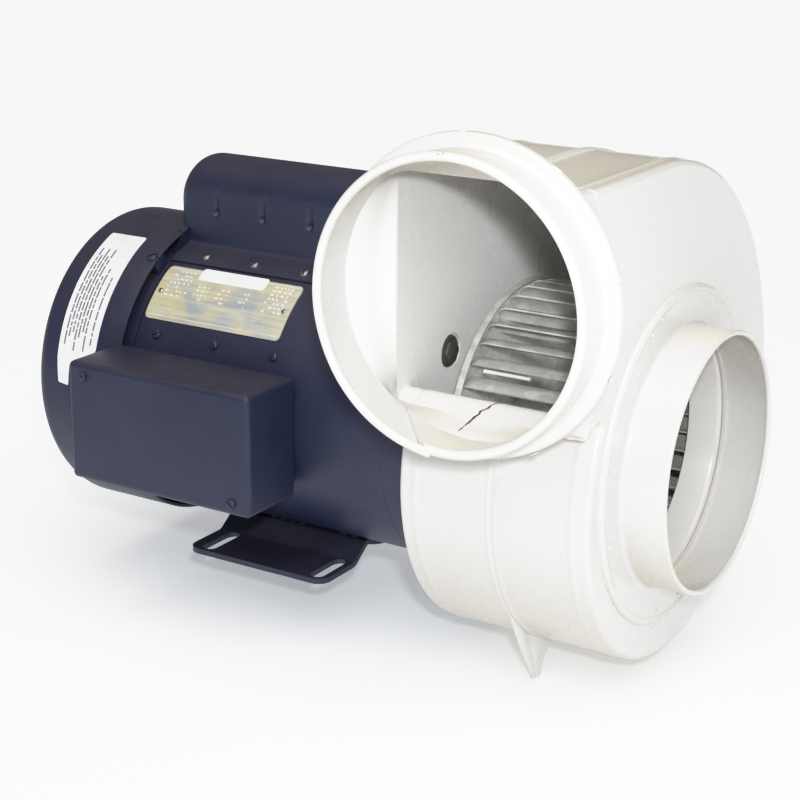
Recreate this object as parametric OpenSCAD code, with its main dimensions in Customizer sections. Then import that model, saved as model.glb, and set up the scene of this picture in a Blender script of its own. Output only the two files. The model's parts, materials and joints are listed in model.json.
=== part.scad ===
// Combustion fan: a single-phase foot-and-face motor that carries a welded scroll housing
// on its drive end, with a forward-curved impeller on the motor shaft.
// +X is the way the air leaves, +Y runs along the shaft from motor to inlet, +Z is up.
// The origin is the centre of the four foot slots, on the foot's underside.

/* [Motor] */
// Height of the shaft above the underside of the foot
shaft_h = 88.9; // [88.9:0.1:92]
// Outer radius of the motor shell
shell_r = 82.5; // [82:0.5:83]
// Wall of the rolled motor shell
shell_t = 2.0; // [1.5:0.1:2.5]
// Rear end of the motor shell
shell_y0 = -88; // [-90:1:-86]
// Front end of the motor shell
shell_y1 = 86; // [85:1:87]
// Outer radius of the cooling-air shroud
shroud_r = 91; // [90:0.5:92]
// Wall of the shroud
shroud_t = 1.6; // [1.2:0.1:2]
// Length of the shroud
shroud_len = 63.5; // [60:0.5:66]

/* [Shaft and rotor] */
// Radius of the shaft extension
shaft_r = 7.94; // [7.9:0.01:8]
// Front end of the shaft
shaft_end = 158; // [155:1:160]
// Radius of the bearing seats, the bore of the bearings
seat_r = 8.5; // [8.5:0.1:8.6]
// Outer radius of the ball bearings
bearing_r = 20; // [20:0.5:21]
// Width of the ball bearings
bearing_w = 12; // [11:1:12]
// Radius of the rotor
rotor_r = 46; // [45:0.5:46]
// Length of the rotor and stator stack
stack_len = 90; // [80:2:90]
// Radial gap between rotor and stator
air_gap = 0.4; // [0.35:0.05:0.6]

/* [Foot] */
// Distance between foot slots across the motor
slot_dx = 123.8; // [123.8:0.1:124]
// Distance between foot slots along the motor
slot_dy = 76.2; // [76.2:0.1:76.4]
// Width of a foot slot
slot_w = 8.7; // [8:0.1:9]
// End-to-end length of a foot slot
slot_len = 30; // [24:1:30]
// Half of the foot's width across the motor
foot_x = 79.5; // [79:0.5:84]
// Thickness of the foot plate
foot_t = 3.2; // [2.5:0.1:4]

/* [Scroll housing] */
// Outer face of the housing's motor side
house_y0 = 109.6; // [109.6:0.1:111]
// Outer face of the housing's inlet side
house_y1 = 220.4; // [220:0.1:222]
// Sheet thickness of the housing
sheet = 1.5; // [1.2:0.1:2]
// Radius of the front arc of the scroll
arc1_r = 105; // [104:0.5:106]
// Radius of the lower back arc of the scroll
arc2_r = 124.9; // [124:0.1:126]
// Radius of the upper back arc of the scroll
arc3_r = 150.1; // [149:0.1:151]
// Distance of the mouth in front of the shaft
mouth_x = 107.9; // [107:0.1:109]
// Height of the mouth's inner floor above the shaft
floor_z = 39.5; // [38:0.1:41]
// Rise of the throat floor from the mouth back to the tongue, per mm
floor_slope = 0.49; // [0.46:0.01:0.52]

/* [Collars] */
// Height of the outlet collar's centre above the shaft
outlet_z = 105.5; // [104:0.1:107]
// Outer radius of the outlet collar tube
outlet_r = 74.8; // [74:0.1:75]
// Front end of the outlet collar
outlet_x1 = 154.3; // [150:0.1:158]
// Back end of the outlet collar, where the flare joins it
outlet_x0 = 124.8; // [124:0.1:127]
// Outer radius of the bead ring at the root of the outlet collar
outlet_ring_r = 81.2; // [79:0.1:82]
// Outer radius of the inlet collar tube
inlet_r = 71.4; // [71:0.1:72]
// Front end of the inlet collar
inlet_y1 = 247.2; // [244:0.1:250]
// Outer radius of the inlet collar's welded flange
inlet_flange_r = 93; // [88:1:94]
// Radius of the outlet's rolled rim, flush with the outside of the collar
outlet_rim_r = 2.4; // [1.8:0.1:2.6]
// Radius of the inlet's rolled rim, flush with the outside of the collar
inlet_rim_r = 1.5; // [1.2:0.1:2]

/* [Impeller] */
// Outer radius of the impeller
wheel_r = 84; // [82:0.5:85]
// Radius of the blades' inner edges
eye_r = 69; // [68:0.5:70]
// Back of the impeller
wheel_y0 = 126; // [125:0.5:127]
// Front of the impeller
wheel_y1 = 206; // [200:1:208]
// Number of blades
blade_n = 40; // [36:1:40]

/* [Hidden] */
$fn = 96;
eps = 0.01;
far = 400;

// Ends of the shaft's steps, bearings and switch
rear_seat = -100;
drive_seat = 88;
journal_r = 10.5;
core_bore = 12.5;
shaft_rear = -143;
fan_seat_r = 7.5;
running_gap = 0.05;
shroud_y1 = -90;

// Lead hole through the shell, clear of the stator stack
lead_y = -62;
lead_hole_r = 9;

// Screws that hold the shroud on the rear end bell
shroud_screw_y = -94.5;
shroud_screw_angle = 57;

// End bells and what is clamped to them
bell_web = 6;
bell_rim = 6.5;
web_bore = 12.5;
drive_face = 108;
face_bolt_r = 4.76;
face_bolt_circle = 74.6;
tie_bolt_r = 2.4;
tie_circle = 75;
bolt_access_r = 10;

// Terminal box
box_y = [-96.4, 29.2];
box_z = [50.7, 120.3];
box_front = 125.1;
box_wall = 1.6;

// Capacitor cover
cap_y = [-99.5, 60];
cap_flange_y = -89.5;
cap_corner = 12;
cap_half = 21;
cap_top = 221.4;
cap_wall = 1.2;
cap_axis_z = cap_top - cap_half;

// Scroll arcs, centres measured from the shaft
arc1_c = [-2.4, -8.9];
arc2_c = [arc1_c[0], arc1_c[1] - arc1_r + arc2_r];
arc3_c = [arc2_c[0] - arc2_r + arc3_r, arc2_c[1]];
roof_z = arc3_c[1] + arc3_r;
seam_y = (house_y0 + house_y1)/2;
shaft_hole_r = 22;
inlet_hole_r = 69;

// Inlet cone: inner radii at the plate and at its end inside the wheel, its sheet and its lip
cone_r = [69, 64];
cone_y0 = 200.5;
cone_t = 1.2;
cone_lip = 7;

// Ring and flange at the roots of the collars
outlet_ring_w = 5.2;
inlet_flange_t = 1.7;

// Impeller
plate_t = 1.5;
blade_t = 0.9;
blade_steps = 6;
blade_lead = 9;
hub_r = 19;
hub_len = 28;

// ---------------------------------------------------------------- helpers

// A flat outline in X and Z about the shaft, extruded along the shaft
module along_shaft(y0, len) {
    translate([0, y0 + len, shaft_h]) rotate([90, 0, 0]) linear_extrude(len) children();
}

// A profile of radius and Y, turned about the shaft
module turned() {
    translate([0, 0, shaft_h]) rotate([-90, 0, 0]) rotate_extrude() children();
}

// A ring about the shaft between two stations
module ring(y0, y1, ro, ri) {
    translate([0, y0, shaft_h]) rotate([-90, 0, 0]) difference() {
        cylinder(h = y1 - y0, r = ro);
        translate([0, 0, -1]) cylinder(h = y1 - y0 + 2, r = ri);
    }
}

// A round bar parallel to the shaft, at an offset in X and Z from it
module bar(y0, y1, r, x = 0, z = 0) {
    translate([x, y0, shaft_h + z]) rotate([-90, 0, 0]) cylinder(h = y1 - y0, r = r);
}

// Copies at equal angles about the shaft, the first one at start degrees above +X
module around(n, start = 0) {
    for (i = [0:n - 1]) translate([0, 0, shaft_h]) rotate([0, -start - i*360/n, 0])
        translate([0, 0, -shaft_h]) children();
}

// The wedge between two angles above +X, as a flat outline about the shaft
module wedge(a0, a1, r) {
    polygon([[0, 0], [r*cos(a0), r*sin(a0)], [r*cos((a0 + a1)/2), r*sin((a0 + a1)/2)],
        [r*cos(a1), r*sin(a1)]]);
}

// A curved plate on a cylinder about the shaft
module curved_plate(y0, y1, r, t, a0, a1) {
    intersection() {
        ring(y0, y1, r + t, r);
        along_shaft(y0, y1 - y0) wedge(a0, a1, 2*r);
    }
}

// A stud or screw that stands on a cylinder about the shaft
module radial_bar(y, angle, r0, r1, r) {
    translate([0, y, shaft_h]) rotate([0, 90 - angle, 0]) translate([0, 0, r0])
        cylinder(h = r1 - r0, r = r, $fn = 32);
}

// ---------------------------------------------------------------- motor body

module motor_shell() {
    color("midnightblue") difference() {
        ring(shell_y0, shell_y1, shell_r, shell_r - shell_t);
        // Lead hole behind the terminal box
        radial_bar(lead_y, 0, shell_r - 5, shell_r + 5, lead_hole_r);
    }
}

module drive_end_bell() {
    hub_out = bearing_r + 6;
    web_y = drive_face - 8;
    color("midnightblue") difference() {
        union() {
            ring(shell_y1, drive_face, shell_r, shell_r - bell_rim);
            ring(web_y, drive_face, shell_r, web_bore);
            ring(shell_y1, web_y + eps, hub_out, bearing_r);
            intersection() {
                ring(shell_y1, drive_face, shell_r, bearing_r);
                union() {
                    around(4, 45) bar(shell_y1, drive_face, 9, face_bolt_circle, 0);
                    around(4) bar(shell_y1, drive_face, 6, tie_circle, 0);
                }
            }
        }
        around(4, 45) bar(drive_face - 16, drive_face + 1, face_bolt_r, face_bolt_circle, 0);
        around(4) bar(shell_y1 - 1, drive_face - 6, tie_bolt_r, tie_circle, 0);
    }
}

module rear_end_bell() {
    hub_out = bearing_r + 6;
    web_y = rear_seat - bell_web;
    lug_r = shroud_r - shroud_t;
    color("midnightblue") difference() {
        union() {
            ring(rear_seat - eps, shell_y0, shell_r, shell_r - bell_rim);
            ring(web_y, rear_seat, shell_r, web_bore);
            ring(rear_seat - eps, shell_y0, hub_out, bearing_r);
            intersection() {
                ring(rear_seat, shell_y0, shell_r, bearing_r);
                around(4) bar(rear_seat, shell_y0, 6, tie_circle, 0);
            }
            // Lugs that carry the shroud
            intersection() {
                ring(rear_seat, shell_y0 - 2, lug_r, shell_r - 2);
                around(4, shroud_screw_angle) translate([shell_r - 3, rear_seat + 1, shaft_h - 5])
                    cube([12, 9, 10]);
            }
        }
        around(4) bar(web_y - 1, shell_y0 + 1, tie_bolt_r, tie_circle, 0);
        for (i = [0:3]) radial_bar(shroud_screw_y, shroud_screw_angle + 90*i, lug_r - 9, lug_r + 1, 2);
    }
}

// The shroud's outer or inner skin as a turned profile with a rounded rear corner
function shroud_skin(r, y0, y1, corner) = concat(
    [[0, y1], [0, y0], [r - corner, y0]],
    [for (a = [15:15:75]) [r - corner + corner*sin(a), y0 + corner - corner*cos(a)]],
    [[r, y0 + corner], [r, y1]]
);

module fan_shroud() {
    y1 = shroud_y1;
    y0 = y1 - shroud_len;
    corner = 9;
    slot_pitch = 10.5;
    color("midnightblue") difference() {
        turned() difference() {
            polygon(shroud_skin(shroud_r, y0, y1, corner));
            polygon(shroud_skin(shroud_r - shroud_t, y0 + shroud_t, y1 + 1, corner - shroud_t));
        }
        // Ring-shaped air slots with six spokes between them
        difference() {
            for (i = [0:4]) ring(y0 - 1, y0 + shroud_t + 1, 24 + i*slot_pitch, 18 + i*slot_pitch);
            for (i = [0:2]) translate([0, y0, shaft_h]) rotate([0, 60*i, 0])
                cube([2*shroud_r, 10, 6], center = true);
        }
        for (i = [0:3]) radial_bar(shroud_screw_y, shroud_screw_angle + 90*i, shroud_r - 4, shroud_r + 2, 2);
    }
}

module shroud_screws() {
    lug_r = shroud_r - shroud_t;
    color("dimgray") for (i = [0:3]) {
        radial_bar(shroud_screw_y, shroud_screw_angle + 90*i, lug_r - 9, shroud_r + eps, 2);
        radial_bar(shroud_screw_y, shroud_screw_angle + 90*i, shroud_r, shroud_r + 1.8, 3.4);
    }
}

// The foot: flat wings that fold up to a saddle under the shell
module motor_foot() {
    y0 = -50;
    y1 = 46;
    fold_x = 46;
    join_x = 32;
    wing = [[foot_x, 0], [fold_x, 0], [join_x, 8.6], [join_x, 14], [join_x + 4, 15.5],
        [fold_x + 1.5, foot_t], [foot_x, foot_t]];
    color("midnightblue") difference() {
        union() {
            translate([0, y1, 0]) rotate([90, 0, 0]) linear_extrude(y1 - y0) {
                polygon(wing);
                mirror([1, 0]) polygon(wing);
            }
            curved_plate(y0, y1, shell_r, foot_t, 245, 295);
        }
        bar(y0 - 1, y1 + 1, shell_r);
        for (sx = [-1, 1], sy = [-1, 1]) translate([sx*slot_dx/2, sy*slot_dy/2, 0]) {
            for (e = [-1, 1]) translate([e*(slot_len - slot_w)/2, 0, -1])
                cylinder(h = foot_t + 2, r = slot_w/2);
            translate([-(slot_len - slot_w)/2, -slot_w/2, -1])
                cube([slot_len - slot_w, slot_w, foot_t + 2]);
        }
        // Rounded corners of the plate
        for (sx = [-1, 1], e = [[y0, 1], [y1, -1]]) translate([sx*foot_x, e[0], 0])
            foot_corner(-sx, e[1]);
    }
}

// What is cut off a corner of the foot plate, with the plate towards +sx and +sy
module foot_corner(sx, sy) {
    r = 9;
    difference() {
        translate([sx*(r/2 - 1), sy*(r/2 - 1), 0]) cube([r + 2, r + 2, 3*foot_t], center = true);
        translate([sx*r, sy*r, -2*foot_t]) cylinder(h = 4*foot_t, r = r);
    }
}

// ---------------------------------------------------------------- capacitors

// The cover's section: straight walls under a half-round top
module cap_section(d) {
    translate([0, cap_axis_z - shaft_h]) circle(cap_half - d);
    translate([-cap_half + d, shell_r - 20]) square([2*(cap_half - d), cap_axis_z - shaft_h - shell_r + 20]);
}

// The hood, drawn in by d: its section along the shaft, with rounded corners in plan
module cap_hood(d) {
    r = cap_corner - d;
    x = cap_half - cap_corner;
    intersection() {
        along_shaft(cap_y[0] + d, cap_y[1] - cap_y[0] - 2*d) cap_section(d);
        translate([0, 0, shaft_h]) linear_extrude(height = cap_top)
            hull() for (s = [-1, 1], y = [cap_y[0] + cap_corner, cap_y[1] - cap_corner])
                translate([s*x, y]) circle(r);
    }
}

module capacitor_cover() {
    groove_r = 3;
    groove_depth = 0.8;
    groove_y = -69;
    groove_pitch = 33.4;
    groove_z = 187.5;
    groove_h = 15.3;
    shroud_gap = 0.3;
    color("midnightblue") difference() {
        union() {
            difference() {
                cap_hood(0);
                cap_hood(cap_wall);
            }
            curved_plate(cap_flange_y, cap_y[1], shell_r, cap_wall, 62, 75);
            curved_plate(cap_flange_y, cap_y[1], shell_r, cap_wall, 105, 118);
        }
        bar(cap_y[0] - 1, cap_y[1] + 1, shell_r);
        // The rear end hangs over the shroud
        bar(cap_y[0] - 1, cap_flange_y, shroud_r + shroud_gap);
        // Four pressed grooves in each side wall
        for (i = [0:3], s = [-1, 1])
            translate([s*(cap_half + groove_r - groove_depth), groove_y + groove_pitch*i, groove_z])
                cylinder(h = groove_h, r = groove_r);
    }
}

module capacitor_cover_screws() {
    first_y = -67;
    pitch = 35;
    seat = shell_r + cap_wall;
    color("dimgray") for (i = [0:3], a = [66.5, 113.5])
        radial_bar(first_y + pitch*i, a, seat, seat + 1.6, 2.6);
}

module capacitor_cradle() {
    color("dimgray") difference() {
        translate([-9, -84, 165]) cube([18, 138, 15]);
        bar(-90, 60, shell_r);
    }
}

module start_capacitor() {
    r = 19;
    color("black") {
        translate([0, 0, 180 + r - shaft_h]) bar(-84, -2, r);
        for (x = [-7, 7]) translate([x, 0, 180 + r - shaft_h]) bar(-2 - eps, 4, 2);
    }
}

module run_capacitor() {
    r = 18;
    color("silver") {
        translate([0, 0, 180 + r - shaft_h]) bar(8, 50, r);
        for (x = [-6, 6]) translate([x, 0, 180 + r - shaft_h]) bar(50 - eps, 55, 2);
    }
}

// ---------------------------------------------------------------- plates and labels

module nameplate() {
    color("tan") curved_plate(-86, 9.5, shell_r, 0.6, 33.6, 59.2);
}

module nameplate_pins() {
    color("silver") for (y = [-82, 5.5]) radial_bar(y, 46, shell_r + 0.6, shell_r + 1.6, 1.5);
}

module shroud_label() {
    color("white") curved_plate(-137, -110, shroud_r, 0.4, 1, 68);
}

// ---------------------------------------------------------------- terminal box

module terminal_box_cover() {
    x0 = 60;
    color("midnightblue") difference() {
        translate([x0, box_y[0], box_z[0]])
            cube([box_front - x0, box_y[1] - box_y[0], box_z[1] - box_z[0]]);
        translate([x0 - 1, box_y[0] + box_wall, box_z[0] + box_wall])
            cube([box_front - x0 - box_wall + 1, box_y[1] - box_y[0] - 2*box_wall,
                box_z[1] - box_z[0] - 2*box_wall]);
        bar(box_y[0] - 1, box_y[1] + 1, shell_r);
        bar(box_y[0] - 1, shroud_y1, shroud_r);
        for (p = box_screw_at) translate([box_front - 5, p[0], p[1]]) rotate([0, 90, 0])
            cylinder(h = 10, r = 2.1);
    }
}

// Screw places on the box's front: upper rear and lower front corner
box_screw_at = [[box_y[0] + 11.2, box_z[1] - 7.7], [box_y[1] - 11.7, box_z[0] + 7]];

module terminal_box_frame() {
    gap = 5;
    x1 = 100;
    y0 = shroud_y1 + gap;
    z0 = box_z[0] + gap;
    dy = box_y[1] - gap - y0;
    dz = box_z[1] - box_z[0] - 2*gap;
    color("dimgray") difference() {
        union() {
            difference() {
                translate([60, y0, z0]) cube([x1 - 60, dy, dz]);
                translate([59, y0 + box_wall, z0 + box_wall])
                    cube([x1, dy - 2*box_wall, dz - 2*box_wall]);
            }
            for (p = box_screw_at) translate([60, p[0], p[1]]) rotate([0, 90, 0])
                cylinder(h = box_front - box_wall - 60, r = 4);
        }
        bar(box_y[0] - 1, box_y[1] + 1, shell_r);
        for (p = box_screw_at) translate([box_front - 20, p[0], p[1]]) rotate([0, 90, 0])
            cylinder(h = 30, r = 2.1);
    }
}

module terminal_box_screws() {
    color("silver") for (p = box_screw_at) translate([0, p[0], p[1]]) rotate([0, 90, 0]) {
        translate([0, 0, box_front - 16]) cylinder(h = 16 + eps, r = 2.1);
        translate([0, 0, box_front]) cylinder(h = 2.2, r = 4);
    }
}

module box_rivets() {
    first_y = -73.5;
    pitch = 41.3;
    angle = 27.5;
    color("midnightblue") for (i = [0:2])
        radial_bar(first_y + pitch*i, angle, shell_r, shell_r + 1.6, 2.8);
}

module terminal_board() {
    color("saddlebrown") difference() {
        translate([shell_r - 1, -28, 66]) cube([14, 40, 36]);
        bar(-60, 60, shell_r);
        translate([shell_r + 5, -29, 70]) cube([20, 42, 28]);
    }
    color("gold") for (y = [-22:9:5], z = [77, 91]) translate([shell_r + 5 - eps, y, z])
        rotate([0, 90, 0]) cylinder(h = 9, r = 2);
}

module lead_bushing() {
    color("black") difference() {
        union() {
            radial_bar(lead_y, 0, shell_r - shell_t - 2, shell_r + 3, lead_hole_r);
            radial_bar(lead_y, 0, shell_r + 0.6, shell_r + 3, lead_hole_r + 2);
        }
        radial_bar(lead_y, 0, shell_r - 9, shell_r + 9, lead_hole_r - 2.5);
    }
}

// ---------------------------------------------------------------- stator and bearings

module stator_core() {
    slots = 24;
    color("slategray") difference() {
        ring(-stack_len/2, stack_len/2, shell_r - shell_t, rotor_r + air_gap);
        around(slots) translate([rotor_r - 1, -stack_len/2 - 1, shaft_h - 3])
            cube([22, stack_len + 2, 6]);
        around(4) bar(-stack_len, stack_len, tie_bolt_r + 0.5, tie_circle, 0);
    }
}

module stator_windings() {
    slots = 24;
    end_len = 23;
    color("peru") {
        around(slots) translate([rotor_r + 2.4, -stack_len/2 - 1, shaft_h - 2.8])
            cube([18, stack_len + 2, 5.6]);
        for (s = [-1, 1]) turned() translate([rotor_r + 5, s > 0 ? stack_len/2 : -stack_len/2 - end_len]) {
            translate([3, 0]) square([15, end_len]);
            translate([0, 3]) square([21, end_len - 6]);
        }
    }
}

module ball_bearing_outer(y0) {
    groove_r = 3.45;
    pitch_r = (bearing_r + seat_r)/2;
    turned() difference() {
        translate([bearing_r - 2.8, y0]) square([2.8, bearing_w]);
        translate([pitch_r, y0 + bearing_w/2]) circle(groove_r);
    }
}

module ball_bearing_inner(y0) {
    groove_r = 3.45;
    pitch_r = (bearing_r + seat_r)/2;
    turned() difference() {
        translate([seat_r, y0]) square([2.8, bearing_w]);
        translate([pitch_r, y0 + bearing_w/2]) circle(groove_r);
    }
}

module ball_bearing_balls(y0) {
    ball_r = 3.4;
    pitch_r = (bearing_r + seat_r)/2;
    around(8, 20) translate([pitch_r, y0 + bearing_w/2, shaft_h]) sphere(ball_r, $fn = 32);
}

module drive_bearing_outer() { color("silver") ball_bearing_outer(drive_seat); }
module drive_bearing_balls() { color("silver") ball_bearing_balls(drive_seat); }
module drive_bearing_inner() { color("silver") ball_bearing_inner(drive_seat); }
module rear_bearing_outer() { color("silver") ball_bearing_outer(rear_seat); }
module rear_bearing_balls() { color("silver") ball_bearing_balls(rear_seat); }
module rear_bearing_inner() { color("silver") ball_bearing_inner(rear_seat); }

module tie_bolts() {
    head_y = rear_seat - bell_web;
    color("dimgray") around(4) {
        bar(head_y - eps, drive_face - 6, tie_bolt_r, tie_circle, 0);
        bar(head_y - 3.5, head_y, 4.6, tie_circle, 0);
    }
}

module start_switch() {
    plate_y = -86;
    color("saddlebrown") {
        intersection() {
            ring(plate_y, plate_y + 2, 62, 24);
            along_shaft(plate_y, 2) wedge(120, 240, 200);
        }
        for (a = [150, 210]) translate([0, 0, shaft_h]) rotate([0, -a, 0])
            translate([0, 0, -shaft_h]) bar(rear_seat, plate_y + eps, 4, 48, 0);
        translate([-56, plate_y + 1.99, shaft_h - 8]) cube([18, 8, 16]);
    }
}

// ---------------------------------------------------------------- motor to housing

module adapter_ring() {
    color("whitesmoke") difference() {
        ring(drive_face, house_y0, shell_r + 1.5, 57.15);
        around(4, 45) bar(drive_face - 1, house_y0 + 1, face_bolt_r, face_bolt_circle, 0);
    }
}

module face_bolts() {
    head_h = 3;
    head_r = 8;
    color("dimgray") around(4, 45) {
        bar(drive_face - 15, house_y0 + eps, face_bolt_r, face_bolt_circle, 0);
        bar(house_y0, house_y0 + head_h, head_r, face_bolt_circle, 0);
    }
}

module shaft_seal() {
    color("dimgray") ring(drive_face, house_y0, shaft_hole_r + 6, shaft_r + 1);
}

// ---------------------------------------------------------------- scroll housing

// Height of the throat's inner floor above the shaft, at a distance in front of it
function floor_at(x) = floor_z + (mouth_x - x)*floor_slope;

// The throat, from the roof down to the sloping floor, inset by d
module throat(d, front) {
    drop = d/cos(atan(floor_slope));
    floor_d = drop - sheet/cos(atan(floor_slope));
    polygon([[arc3_c[0], roof_z - d], [front, roof_z - d], [front, floor_at(front) + floor_d],
        [60, floor_at(60) + floor_d], [0, 0]]);
}

// The scroll's side outline, inset by d: three tangent arcs and the throat
module scroll_area(d = 0, front = mouth_x) {
    translate(arc1_c) circle(arc1_r - d);
    intersection() {
        translate(arc2_c) circle(arc2_r - d);
        translate([-far, -far]) square([far + arc2_c[0], far + arc2_c[1]]);
    }
    intersection() {
        translate(arc3_c) circle(arc3_r - d);
        translate([-far, arc3_c[1]]) square([far + arc3_c[0], far]);
    }
    throat(d, front);
}

// One half of the housing: a side plate at y_plate and a wrapper between y0 and y1
module housing_half(y0, y1, y_plate) {
    difference() {
        along_shaft(y0, y1 - y0) scroll_area();
        difference() {
            along_shaft(y0 - 1, y1 - y0 + 2) scroll_area(sheet, mouth_x + 10);
            along_shaft(y_plate, sheet) translate([-far, -far]) square(2*far);
        }
    }
}

module housing_motor_half() {
    color("whitesmoke") difference() {
        housing_half(house_y0, seam_y, house_y0);
        bar(house_y0 - 1, house_y0 + 5, shaft_hole_r);
        around(4, 45) bar(house_y0 - 1, house_y0 + 5, bolt_access_r, face_bolt_circle, 0);
    }
}

module housing_inlet_half() {
    color("whitesmoke") difference() {
        housing_half(seam_y, house_y1, house_y1 - sheet);
        bar(house_y1 - 5, house_y1 + 1, inlet_hole_r);
    }
}

module seam_band() {
    width = 5;
    proud = 1.3;
    color("whitesmoke") difference() {
        along_shaft(seam_y - width/2, width) scroll_area(-proud);
        along_shaft(seam_y - width/2 - 1, width + 2) scroll_area(0, mouth_x + 10);
    }
}

// A pointed fold of sheet that hangs from the seam under the scroll
module seam_lug() {
    thick = 3.2;
    tip = [45.5, -127];
    color("whitesmoke") difference() {
        along_shaft(seam_y - thick/2, thick)
            polygon([[20, -108], [84, -68], [77, -85], [53, -121], [tip[0] + 4.5, tip[1]],
                [tip[0] - 4.5, tip[1]], [38, -120], [35, -113.5]]);
        along_shaft(seam_y - thick, 2*thick) scroll_area(-1.3);
    }
}

// ---------------------------------------------------------------- outlet

// A thin slab of the mouth's rectangle, inset by d
module mouth_slab(x, d) {
    z0 = shaft_h + floor_at(mouth_x) - sheet/cos(atan(floor_slope)) + d;
    translate([x, house_y0 + d, z0])
        cube([eps, house_y1 - house_y0 - 2*d, shaft_h + roof_z - d - z0]);
}

// A thin disc of the collar's circle
module collar_slab(x, r) {
    translate([x, seam_y, shaft_h + outlet_z]) rotate([0, 90, 0]) cylinder(h = eps, r = r, $fn = 72);
}

// The flare from the mouth's rectangle to the collar's circle
module outlet_transition() {
    over = 0.4;
    color("whitesmoke") difference() {
        hull() {
            mouth_slab(mouth_x, 0);
            collar_slab(outlet_x0 - eps, outlet_r);
        }
        hull() {
            mouth_slab(mouth_x - over, sheet);
            collar_slab(outlet_x0 + over, outlet_r - sheet);
        }
    }
}

module outlet_ring() {
    color("whitesmoke") translate([outlet_x0, seam_y, shaft_h + outlet_z]) rotate([0, 90, 0])
        difference() {
            cylinder(h = outlet_ring_w, r = outlet_ring_r);
            translate([0, 0, -1]) cylinder(h = outlet_ring_w + 2, r = outlet_r - sheet);
        }
}

// A rolled tube: a thin wall with a round bead inside its free end
module collar_tube(len, r, rim_r) {
    rotate_extrude() {
        translate([r - sheet, 0]) square([sheet, len - rim_r]);
        translate([r - rim_r, len - rim_r]) circle(rim_r, $fn = 32);
    }
}

module outlet_collar() {
    x0 = outlet_x0 + outlet_ring_w;
    color("whitesmoke") translate([x0, seam_y, shaft_h + outlet_z]) rotate([0, 90, 0])
        collar_tube(outlet_x1 - x0, outlet_r, outlet_rim_r);
}

// ---------------------------------------------------------------- inlet

module inlet_flange() {
    color("whitesmoke") ring(house_y1, house_y1 + inlet_flange_t, inlet_flange_r, inlet_r - sheet);
}

module inlet_collar() {
    y0 = house_y1 + inlet_flange_t;
    color("whitesmoke") translate([0, y0, shaft_h]) rotate([-90, 0, 0])
        collar_tube(inlet_y1 - y0, inlet_r, inlet_rim_r);
}

// The cone that leads the air from the collar into the wheel's eye
module inlet_cone() {
    wide = cone_r[0];
    narrow = cone_r[1];
    seat = house_y1 - sheet;
    color("whitesmoke") turned() polygon([[wide, seat], [wide + cone_lip, seat],
        [wide + cone_lip, seat - cone_t], [wide + cone_t, seat - cone_t],
        [narrow + cone_t, cone_y0], [narrow, cone_y0]]);
}

// ---------------------------------------------------------------- rotating parts

module motor_shaft() {
    core = stack_len/2;
    key_w = 4.76;
    color("silver") difference() {
        turned() polygon([[0, shaft_rear], [fan_seat_r - 1, shaft_rear], [fan_seat_r, shaft_rear + 1],
            [fan_seat_r, -104], [seat_r, -104], [seat_r, rear_seat + bearing_w],
            [journal_r, rear_seat + bearing_w], [journal_r, -core], [core_bore, -core],
            [core_bore, core], [journal_r, core], [journal_r, drive_seat], [seat_r, drive_seat],
            [seat_r, drive_seat + bearing_w + 4], [shaft_r, drive_seat + bearing_w + 4],
            [shaft_r, shaft_end - 1], [shaft_r - 1, shaft_end], [0, shaft_end]]);
        translate([-key_w/2, wheel_y0 + 2, shaft_h + shaft_r - key_w/2])
            cube([key_w, shaft_end, key_w]);
    }
}

module shaft_key() {
    key_w = 4.76;
    color("silver") translate([-key_w/2, wheel_y0 + 2, shaft_h + shaft_r - key_w/2])
        cube([key_w, hub_len - 3, key_w]);
}

module rotor_core() {
    color("slategray") ring(-stack_len/2, stack_len/2, rotor_r, core_bore);
}

module rotor_cage() {
    core = stack_len/2;
    end_t = 8;
    vane = 7;
    color("silver") for (s = [-1, 1]) {
        y0 = s > 0 ? core : -core - end_t;
        v0 = s > 0 ? core + end_t - eps : -core - end_t - vane + eps;
        ring(y0, y0 + end_t, rotor_r - 1.5, 28);
        around(12) translate([30, v0, shaft_h - 1.5]) cube([12, vane, 3]);
    }
}

module governor_plate() {
    color("darkgoldenrod") {
        ring(-58, -54, 26, journal_r);
        for (s = [-1, 1]) translate([s*19 - 5, -54 - eps, shaft_h - 9]) cube([10, 5, 18]);
    }
}

module governor_spool() {
    bore = journal_r + running_gap;
    color("saddlebrown") {
        ring(-82, -66, 14, bore);
        ring(-82, -79, 21, bore);
        ring(-69, -66, 17.5, bore);
    }
}

module cooling_fan() {
    color("black") {
        ring(-141, -118, 16, fan_seat_r);
        ring(-120, -118, 74, 10);
        around(8) translate([15, -139, shaft_h - 1.25]) cube([58, 19 + eps, 2.5]);
    }
}

// ---------------------------------------------------------------- impeller

module impeller_backplate() {
    color("silver") ring(wheel_y0, wheel_y0 + plate_t, wheel_r, shaft_r);
}

module impeller_hub() {
    key_w = 4.76;
    y0 = wheel_y0 + plate_t;
    color("silver") difference() {
        ring(y0, y0 + hub_len, hub_r, shaft_r);
        translate([-key_w/2, y0 - 1, shaft_h]) cube([key_w, hub_len + 2, shaft_r + key_w/2]);
        for (a = [0, 180]) radial_bar(y0 + 18, a, shaft_r - 2, hub_r + 1, 3);
    }
}

module impeller_set_screws() {
    y0 = wheel_y0 + plate_t;
    color("dimgray") for (a = [0, 180]) intersection() {
        radial_bar(y0 + 18, a, shaft_r - 2, hub_r - 1, 3);
        ring(y0, y0 + hub_len, hub_r, shaft_r);
    }
}

// Centre line of a forward-curved blade: s runs from the inner edge to the outer one
function blade_at(s) =
    let (r = eye_r + (wheel_r - 1 - eye_r)*s, a = blade_lead*s*s - 3*s)
    [r*cos(a), -r*sin(a)];

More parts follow.
